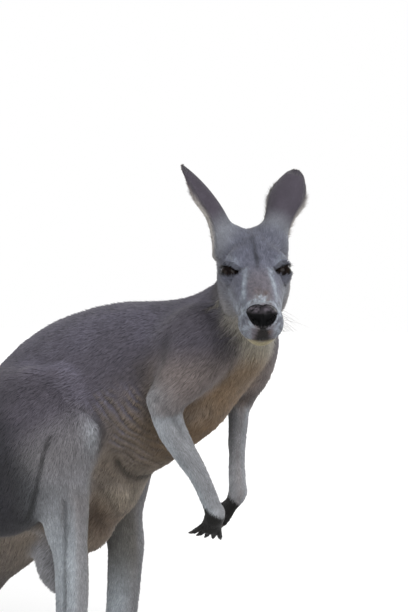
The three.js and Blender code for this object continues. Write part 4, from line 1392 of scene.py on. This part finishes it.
def patches(hair, groups, some):
    """Each tuft's corners as a small patch at its root's place on the unwrap."""
    uv = np.zeros((len(some), 4, 2))
    root, left = hair["root"][some], hair["root"][some, 1] > 0
    for i, g in enumerate(groups):
        for half, s in enumerate((1, -1)):
            mine = (hair["group"][some] == GROUPS.index(g)) & (left == (s > 0))
            if not mine.any():
                continue
            turn, along = chart_place(root[mine], g, s)
            column = (turn * 0.96 + 0.02 + half) / 2
            row = (along * 0.96 + 0.02 + i) / len(groups)
            corners = np.array([[-0.5, -0.5], [0.5, -0.5], [0, 0], [0, 0.5]]) * PATCH
            uv[mine] = np.stack([column, row], 1)[:, None] + corners
    return uv


def coat_piece(name, hair, groups, some, material):
    count = len(some)
    faces = np.array([[0, 2, 1], [0, 3, 2], [2, 3, 1], [1, 3, 0]])
    corners = (np.arange(count)[:, None, None] * 4 + faces).reshape(-1).astype(np.int32)
    points, tone, strand, normals = (
        hair[key][some].reshape(-1, 3) for key in ("points", "tone", "strand", "normals")
    )
    attributes = {"tone": with_alpha(tone), "strand": strand, "custom_normal": normals}
    piece = put(name, points, np.full(count * 4, 3, np.int32), corners, material, attributes)
    uv = patches(hair, groups, some).reshape(-1, 2)[corners]
    layer = piece.data.uv_layers.new(name="OFBake")
    layer.data.foreach_set("uv", uv.astype(FLOAT).ravel())
    return piece


# ---------------------------------------------------------------- smooth small pieces
def ring_faces(rings, around):
    """Quads between rings of points, and the two faces that close the ends."""
    i, j = np.indices((rings - 1, around)).reshape(2, -1)
    k = (j + 1) % around
    quads = np.stack([i * around + j, i * around + k, (i + 1) * around + k, (i + 1) * around + j], 1)
    last = (rings - 1) * around
    return quads, [list(range(around))[::-1], list(range(last, last + around))]


def tube_mesh(name, rows, side, around, material, steps=6):
    """A closed tube through rows of x, y, z, half width, half depth, drawn to a point at its end."""
    rings = through(rows, steps)
    rings[-1, 3:] = 0.02
    rings[:, 3:] = np.maximum(rings[:, 3:], 0.02)
    run = unit(np.gradient(rings[:, :3], axis=0))
    across = unit(side - (run @ side)[:, None] * run)
    up = np.cross(run, across)
    turn = np.arange(around) / around * 2 * math.pi
    off = across[:, None] * (rings[:, 3:4] * np.cos(turn))[:, :, None]
    off = off + up[:, None] * (rings[:, 4:5] * np.sin(turn))[:, :, None]
    points = (rings[:, None, :3] + off).reshape(-1, 3)
    sizes, corners = faces_as_loops(*ring_faces(len(rings), around))
    share = np.repeat(np.linspace(0, 1, len(rings)), around)
    piece = put(name, points, sizes, corners, material, {"share": share})
    for face in piece.data.polygons:
        face.use_smooth = face.loop_total == 4
    return piece


def eye_piece(side, s, material):
    """An eyeball with a slightly proud cornea, whose poles lie ahead of it and behind."""
    look = unit([0.42, 0.86 * s, 0.12])
    up = unit(UP - look * (look @ UP))
    own = HEAD[1] @ np.stack([look, np.cross(up, look), up], 1)
    rows, around = 40, 56
    tilt = np.linspace(0, math.pi, rows)[1:-1]
    turn = np.arange(around) / around * 2 * math.pi
    radius = EYE["radius"] + 0.55 * np.exp(-((tilt / 0.62) ** 4)) - 0.2
    wide = np.sin(tilt) * radius
    ahead = np.repeat(np.cos(tilt) * radius, around)
    ring = np.stack([ahead, *(np.outer(wide, f(turn)).ravel() for f in (np.cos, np.sin))], 1)
    local = np.vstack([ring, [[radius[0], 0, 0], [-radius[-1], 0, 0]]])
    points = to_world(HEAD, mirrored(EYE["at"], s)) + local @ own.T
    quads = ring_faces(len(tilt), around)[0][:, [0, 3, 2, 1]]
    front, back = len(local) - 2, len(local) - 1
    last = (len(tilt) - 1) * around
    ends = [[front, j, (j + 1) % around] for j in range(around)]
    ends += [[back, last + (j + 1) % around, last + j] for j in range(around)]
    sizes, corners = faces_as_loops(quads, ends)
    piece = put(f"eyeball_{side}", points, sizes, corners, material, {"eye": local / EYE["radius"]})
    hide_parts(f"eye_{side}")
    return piece


def claws(material):
    for side, s in SIDES.items():
        own = hand_frame(s)
        for i in range(DIGITS):
            rows = in_frame(own, hand_claw_rows(i))
            piece = tube_mesh(f"claw_hand_{side}_{i + 1}", rows, own[1][:, 1], 12, material)
            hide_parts(f"hand_claw_{side}_{i + 1}")
        for name, rows in FOOT_CLAWS.items():
            across = foot_frame(s)[1][:, 1]
            piece = tube_mesh(f"claw_foot_{side}_{name}", in_foot(s, rows), across, 16, material)
            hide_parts(f"foot_claw_{side}_{name}")


def strands(name, hairs, thick, droop, material):
    """Fine stiff hairs, each a root, a way and a length: thin three-sided spines that bend down."""
    steps = 7
    quads, ends = ring_faces(steps, 3)
    t = (np.arange(steps) / (steps - 1))[:, None]
    turn = (np.arange(3) * 2 * math.pi / 3)[:, None]
    points = []
    for root, way, length in hairs:
        side = unit(np.cross(way, [0.1, 0.2, 1]))
        up = np.cross(side, way)
        middle = root + way * length * t + np.array([0, 0, -1]) * droop * length * t * t
        off = side * np.cos(turn) + up * np.sin(turn)
        r = thick * (1 - 0.92 * t) / 2
        points.append((middle[:, None] + off * r[:, None]).reshape(-1, 3))
    starts = range(0, len(hairs) * steps * 3, steps * 3)
    ends = [[start + corner for corner in face] for start in starts for face in ends]
    sizes, corners = faces_as_loops(np.vstack([quads + start for start in starts]), ends)
    piece = put(name, np.vstack(points), sizes, corners, material, {})
    return piece


def surface_root(at, depth):
    """Where a hair starting near a point of the head leaves the skin."""
    return onto(lambda p: form(p) + depth, np.array([to_world(HEAD, at)], FLOAT), 4)[0]


def whiskers(material):
    random = np.random.default_rng(5)
    hairs = []
    for s in SIDES.values():
        for row in range(4):
            for column in range(4):
                at = [74 + 6.5 * column, 25 * s, -8 - 6.5 * row - 1.5 * column]
                way = np.array([0.15 - 0.22 * column * 0.3, s, -0.25 - 0.2 * row])
                way = unit(HEAD[1] @ unit(way + 0.16 * random.standard_normal(3)))
                hairs.append((surface_root(at, 1.2), way, random.uniform(20, 38)))
        for i in range(3):
            way = unit(HEAD[1] @ unit([0.75, 0.6 * s + 0.15 * i, 0.55]))
            hairs.append((surface_root([6 + 3 * i, 31 * s, 35], 2.0), way, random.uniform(14, 22)))
    return strands("whiskers", hairs, 0.42, 0.22, material)


def lashes(material):
    """Lashes along the upper lids."""
    random = np.random.default_rng(6)
    hairs = []
    for s in SIDES.values():
        for angle in np.linspace(-20, 112, 44):
            height = np.interp(angle, LID_ROWS[:, 0], LID_ROWS[:, 1]) + random.uniform(0.1, 0.5)
            a = math.radians(angle)
            level = math.sqrt(max((EYE["radius"] + 0.8) ** 2 - height**2, 1))
            out = AHEAD * math.cos(a) + np.array([0, s, 0]) * math.sin(a)
            root = to_world(HEAD, mirrored(EYE["at"], s) + out * level + UP * height)
            way = unit(HEAD[1] @ unit(out + UP * 0.25 + 0.2 * random.standard_normal(3)))
            hairs.append((root, way, random.uniform(4, 7.5)))
    return strands("lashes", hairs, 0.32, 0.3, material)


# ---------------------------------------------------------------- materials
class Nodes:
    """The nodes of a material or a world, with short calls to add them and link them."""

    def __init__(self, owner, shader="Principled BSDF", **settings):
        owner.use_nodes = True
        self.owner = owner
        self.tree = owner.node_tree
        self.shader = self.tree.nodes[shader]
        self.set(self.shader, **settings)

    def give(self, socket, value):
        """The socket's value: another node's output, or a constant."""
        if hasattr(value, "is_output"):
            self.tree.links.new(value, socket)
        else:
            socket.default_value = value

    def set(self, node, **settings):
        for key, value in settings.items():
            name = key.replace("_", " ").lower()
            self.give(next(s for s in node.inputs if s.name.lower() == name), value)

    def add(self, kind, options=None, **settings):
        node = self.tree.nodes.new(f"ShaderNode{kind}")
        for key, value in (options or {}).items():
            setattr(node, key, value)
        self.set(node, **settings)
        return node

    def attribute(self, name, output="Vector"):
        return self.add("Attribute", {"attribute_name": name}).outputs[output]

    def math(self, operation, a, b=0.0):
        node = self.add("Math", {"operation": operation})
        self.give(node.inputs[0], a)
        self.give(node.inputs[1], b)
        return node.outputs[0]

    def noise(self, vector, scale, detail=3.0, roughness=0.55):
        node = self.add("TexNoise", Vector=vector, Scale=scale, Detail=detail, Roughness=roughness)
        return node.outputs["Fac"]

    def stretched(self, vector, scale):
        node = self.add("VectorMath", {"operation": "MULTIPLY"})
        self.give(node.inputs[0], vector)
        self.give(node.inputs[1], scale)
        return node.outputs[0]

    def spread(self, value, to_low, to_high, low=0.3, high=0.7):
        node = self.add("MapRange", Value=value, From_Min=low, From_Max=high, To_Min=to_low, To_Max=to_high)
        return node.outputs["Result"]

    def ramp(self, value, *stops):
        """A colour that runs through stops, each a place and a colour."""
        node = self.add("ValToRGB", Fac=value)
        found = node.color_ramp.elements
        for i, (place, tint) in enumerate(stops):
            stop = found[i] if i < 2 else found.new(place)
            stop.position, stop.color = place, (*tint, 1)
        return node.outputs["Color"]

    def scaled(self, tint, factor):
        """A colour times a number."""
        node = self.add("Mix", {"data_type": "RGBA", "blend_type": "MULTIPLY"}, Factor=1)
        self.give(node.inputs[6], tint)
        self.give(node.inputs[7], factor)
        return node.outputs[2]

    def mottle(self, tint, grain, low, high):
        """Colours the surface with a tint times low to high, as a grain has it."""
        self.set(self.shader, Base_Color=self.scaled(tint, self.spread(grain, low, high)))

    def bump(self, height, strength, distance):
        node = self.add("Bump", Height=height, Strength=strength, Distance=distance)
        self.set(self.shader, Normal=node.outputs["Normal"])

    @property
    def position(self):
        return self.add("TexCoord").outputs["Object"]


def surface(name, **settings):
    return Nodes(bpy.data.materials.new(name), **settings)


def seen_rays(m):
    """1 for the camera's rays and those that gloss or glass sends on, and 0 for all others."""
    rays = m.add("LightPath").outputs
    seen = m.math("MAXIMUM", rays["Is Camera Ray"], rays["Is Glossy Ray"])
    return m.math("MAXIMUM", seen, rays["Is Transmission Ray"])


def coat_material():
    """Tufts that show as a few hairs each, darker at the root."""
    m = surface("coat_tufts", Roughness=0.72, Specular_IOR_Level=0.25)
    m.set(m.shader, Sheen_Weight=0.12, Sheen_Roughness=0.5)
    hairs = m.noise(m.stretched(m.attribute("strand"), (2.6, 0.9, 37.0)), 1.0, 2.0, 0.6)
    m.mottle(m.attribute("tone", "Color"), hairs, 0.74, 1.24)
    m.bump(hairs, 0.35, 0.0006)
    return m.owner


def skin_material():
    """Skin under the coat: darker, with short hair lying along it."""
    m = surface("skin", Roughness=0.78, Specular_IOR_Level=0.25)
    short = m.noise(m.attribute("grain"), 1.0, 3.0, 0.6)
    fine = m.noise(m.position, 900.0, 2.0)
    m.mottle(m.attribute("tone", "Color"), short, 0.72, 1.12)
    m.bump(m.math("ADD", short, m.math("MULTIPLY", fine, 0.4)), 0.5, 0.0008)
    return m.owner


def nose_material():
    """Wet black leather with fine pebbles."""
    m = surface("nose_leather", Roughness=0.42, Specular_IOR_Level=0.05)
    cells = m.add("TexVoronoi", Vector=m.position, Scale=780.0).outputs["Distance"]
    wide = m.noise(m.position, 120.0, 3.0)
    m.mottle(m.attribute("tone", "Color"), wide, 0.7, 1.35)
    m.set(m.shader, Roughness=m.spread(wide, 0.34, 0.52))
    m.bump(m.math("SUBTRACT", 1.0, cells), 0.45, 0.0004)
    return m.owner


# Colours from the middle of the pupil out to the rim of the iris, and the places they are at.
IRIS = [
    (0.30, (0.0015, 0.0012, 0.001)),
    (0.36, (0.007, 0.004, 0.002)),
    (0.62, (0.006, 0.003, 0.002)),
    (0.72, (0.002, 0.001, 0.001)),
    (0.9, (0.008, 0.005, 0.004)),
]


def eye_material():
    """A dark brown iris round a wide pupil, almost black, behind a wet surface."""
    m = surface("eye_wet", Roughness=0.08, Specular_IOR_Level=0.05, Coat_Weight=0.02, Coat_Roughness=0.03)
    eye = m.attribute("eye")
    ahead, across, up = m.add("SeparateXYZ", Vector=eye).outputs
    tall = m.math("POWER", m.math("MULTIPLY", up, 1.25), 2.0)
    out = m.math("SQRT", m.math("ADD", m.math("POWER", across, 2.0), tall))
    rays = m.noise(m.stretched(eye, (1.0, 9.0, 9.0)), 3.0, 4.0)
    uneven = m.math("MULTIPLY", m.math("SUBTRACT", rays, 0.5), 0.06)
    front = m.math("GREATER_THAN", ahead, 0.0)
    lit = m.math("MULTIPLY", m.spread(rays, 0.6, 1.3), front)
    lit = m.math("ADD", lit, m.math("SUBTRACT", 1.0, front))
    m.set(m.shader, Base_Color=m.scaled(m.ramp(m.math("ADD", out, uneven), *IRIS), lit))
    return m.owner


def claw_material():
    """Dark horn, worn paler towards the point, with fine lines along it."""
    m = surface("claw_horn", Roughness=0.38, Specular_IOR_Level=0.5)
    lines = m.noise(m.stretched(m.position, (260.0, 1400.0, 1400.0)), 1.0, 3.0)
    horn = m.ramp(m.attribute("share", "Fac"), (0, (0.012, 0.010, 0.009)), (1, (0.045, 0.036, 0.030)))
    m.mottle(horn, lines, 0.65, 1.4)
    m.set(m.shader, Roughness=m.spread(lines, 0.3, 0.52))
    m.bump(lines, 0.3, 0.0003)
    return m.owner


def hair_material(name, tint):
    m = surface(name, Roughness=0.45, Specular_IOR_Level=0.4)
    dark = [0.6 * level for level in tint]
    m.set(m.shader, Base_Color=m.ramp(m.noise(m.position, 400.0, 2.0), (0, dark), (1, tint)))
    return m.owner


# ---------------------------------------------------------------- the animal's pieces
def skin_piece(skin):
    """The skin, and the nose's leather as a piece of its own."""
    q = to_local(HEAD, skin.points)
    inside = nose_front(q)[2] > 0
    leather_quads = inside[skin.quads].sum(1) >= 2
    leather_others = [inside[face].sum() * 2 >= len(face) for face in skin.others]
    others_own = ("eye_", "nose", "hand_claw", "foot_claw")
    flesh = [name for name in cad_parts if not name.startswith(others_own)]
    hairy = smooth(0.8, 4, skin.coat[:, 0]) * (1 - skin.bare)
    under = np.clip(darker(skin.tone, 0.42 * hairy), 0.001, 0.9)
    grain = skin.points * (1 - 0.8 * np.abs(skin.flow))  # for short hairs, drawn out along their lie
    for name, leather in (("skin", False), ("nose_leather", True)):
        quads = skin.quads[leather_quads == leather]
        others = [face for face, found in zip(skin.others, leather_others) if found == leather]
        used = np.unique(np.concatenate([quads.ravel(), *[np.array(face) for face in others]]))
        new = np.zeros(len(skin.points), np.int64)
        new[used] = np.arange(len(used))
        sizes, corners = faces_as_loops(new[quads], [new[face].tolist() for face in others])
        tone = nose_tone(q[used]) if leather else under[used]
        material = nose_material() if leather else skin_material()
        attributes = {"tone": with_alpha(tone), "grain": grain[used]}
        piece = put(name, skin.points[used], sizes, corners, material, attributes)
        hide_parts(*(flesh if name == "skin" else ["nose"]))


def nose_tone(q):
    """The nose's colour: black, with a painted grey sheen on the lobes above, and black in and below the
    nostrils.
    """
    across, height, inside = nose_front(q)
    # painted sheen: grey on the upper lobes, broken at the middle groove and by the nostrils
    lobe = smooth(7, 13, height - 0.15 * np.abs(across)) * smooth(0, 2.5, inside)
    lobe = lobe * np.clip(0.8 + 1.6 * noise(q, 2.6, 23), 0.05, 1.8)
    lobe = lobe * (1 - 0.7 * bell(across, 2.2)) * (1 - nostrils(across, height))
    dark, grey = colour(3, 3, 4), colour(60, 56, 61)
    tone = dark + (grey - dark) * lobe[:, None]
    return tone * (1 - 0.8 * np.clip(nostrils(across, height), 0, 1))[:, None]


# ---------------------------------------------------------------- the stage
def floor_material():
    """Plain and pale. To the camera and in reflections it lifts to white with distance."""
    m = surface("floor_pale", Base_Color=(0.8, 0.8, 0.8, 1), Roughness=0.95, Specular_IOR_Level=0.0)
    away = m.add("VectorMath", {"operation": "LENGTH"})
    m.give(away.inputs[0], m.position)
    lift = m.spread(away.outputs["Value"], 0.16, 0.75, 0.8, 4.0)
    glow = m.math("MULTIPLY", seen_rays(m), lift)
    m.set(m.shader, Emission_Color=(1, 1, 1, 1), Emission_Strength=glow)
    return m.owner


def area_light(name, at, target, size, power):
    data = bpy.data.lights.new(name, "AREA")
    data.shape = "DISK"
    data.size = size
    data.energy = power
    lamp = bpy.data.objects.new(name, data)
    bpy.context.scene.collection.objects.link(lamp)
    lamp.matrix_world = looking(at, target - at)


def looking(at, way):
    """The placing of a camera or lamp at a point, looking along a direction."""
    z = -unit(way)
    x = unit(np.cross([0, 0, 1], z))
    return Matrix([*np.stack([x, np.cross(z, x), z, at], 1).tolist(), [0, 0, 0, 1]])


# The azimuth in degrees, places in metres and the lens in millimetres.
CAMERA = {"azimuth": 33, "distance": 2.1, "aside": 0.157, "height": 0.65, "lens": 85}


def stage():
    scene = bpy.context.scene
    scene.view_settings.view_transform = "Standard"
    a = math.radians(CAMERA["azimuth"])
    ahead = np.array([-math.sin(a), math.cos(a), 0])
    right = np.array([math.cos(a), math.sin(a), 0])
    up = np.array([0, 0, 1])
    origin = SHIFT * MM * [1, 1, 0]
    eye_point = origin + CAMERA["aside"] * right - CAMERA["distance"] * ahead + CAMERA["height"] * up
    data = bpy.data.cameras.new("camera")
    data.lens = CAMERA["lens"]
    data.sensor_width = 36
    camera = bpy.data.objects.new("camera", data)
    scene.collection.objects.link(camera)
    camera.matrix_world = looking(eye_point, ahead)
    scene.camera = camera

    bpy.ops.mesh.primitive_plane_add(size=60, location=(0, 0, 0))
    floor = bpy.context.object
    floor.name = "floor"
    floor.data.materials.append(floor_material())
    floor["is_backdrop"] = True

    middle = origin + np.array([0.1, 0, 0.45])
    area_light("key", middle + 0.9 * right - 2.3 * ahead + 1.3 * up, middle, 2.0, 62)
    area_light("fill", middle - 2.4 * right - 1.4 * ahead + 0.7 * up, middle, 2.2, 28)
    area_light("rim", middle + 1.4 * right + 1.8 * ahead + 1.5 * up, middle, 1.6, 30)

    scene.world = bpy.data.worlds.new("studio")
    w = Nodes(scene.world, "Background", Color=(1, 1, 1, 1))
    w.set(w.shader, Strength=w.spread(seen_rays(w), 0.56, 1.0, 0.0, 1.0))


def make():
    skin = Skin()
    skin_piece(skin)
    hair = tufts(skin)
    material = coat_material()
    for name, groups, some in coat_pieces(hair):
        coat_piece(name, hair, groups, some, material)
    wet = eye_material()
    for side, s in SIDES.items():
        eye_piece(side, s, wet)
    claws(claw_material())
    whiskers(hair_material("whisker_hair", (0.30, 0.28, 0.26)))
    lashes(hair_material("lash_hair", (0.03, 0.026, 0.024)))
    stage()


make()
sizes = {"cad": cad_box, "visual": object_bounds()}
{key: [list(corner) for corner in box] for key, box in sizes.items()}
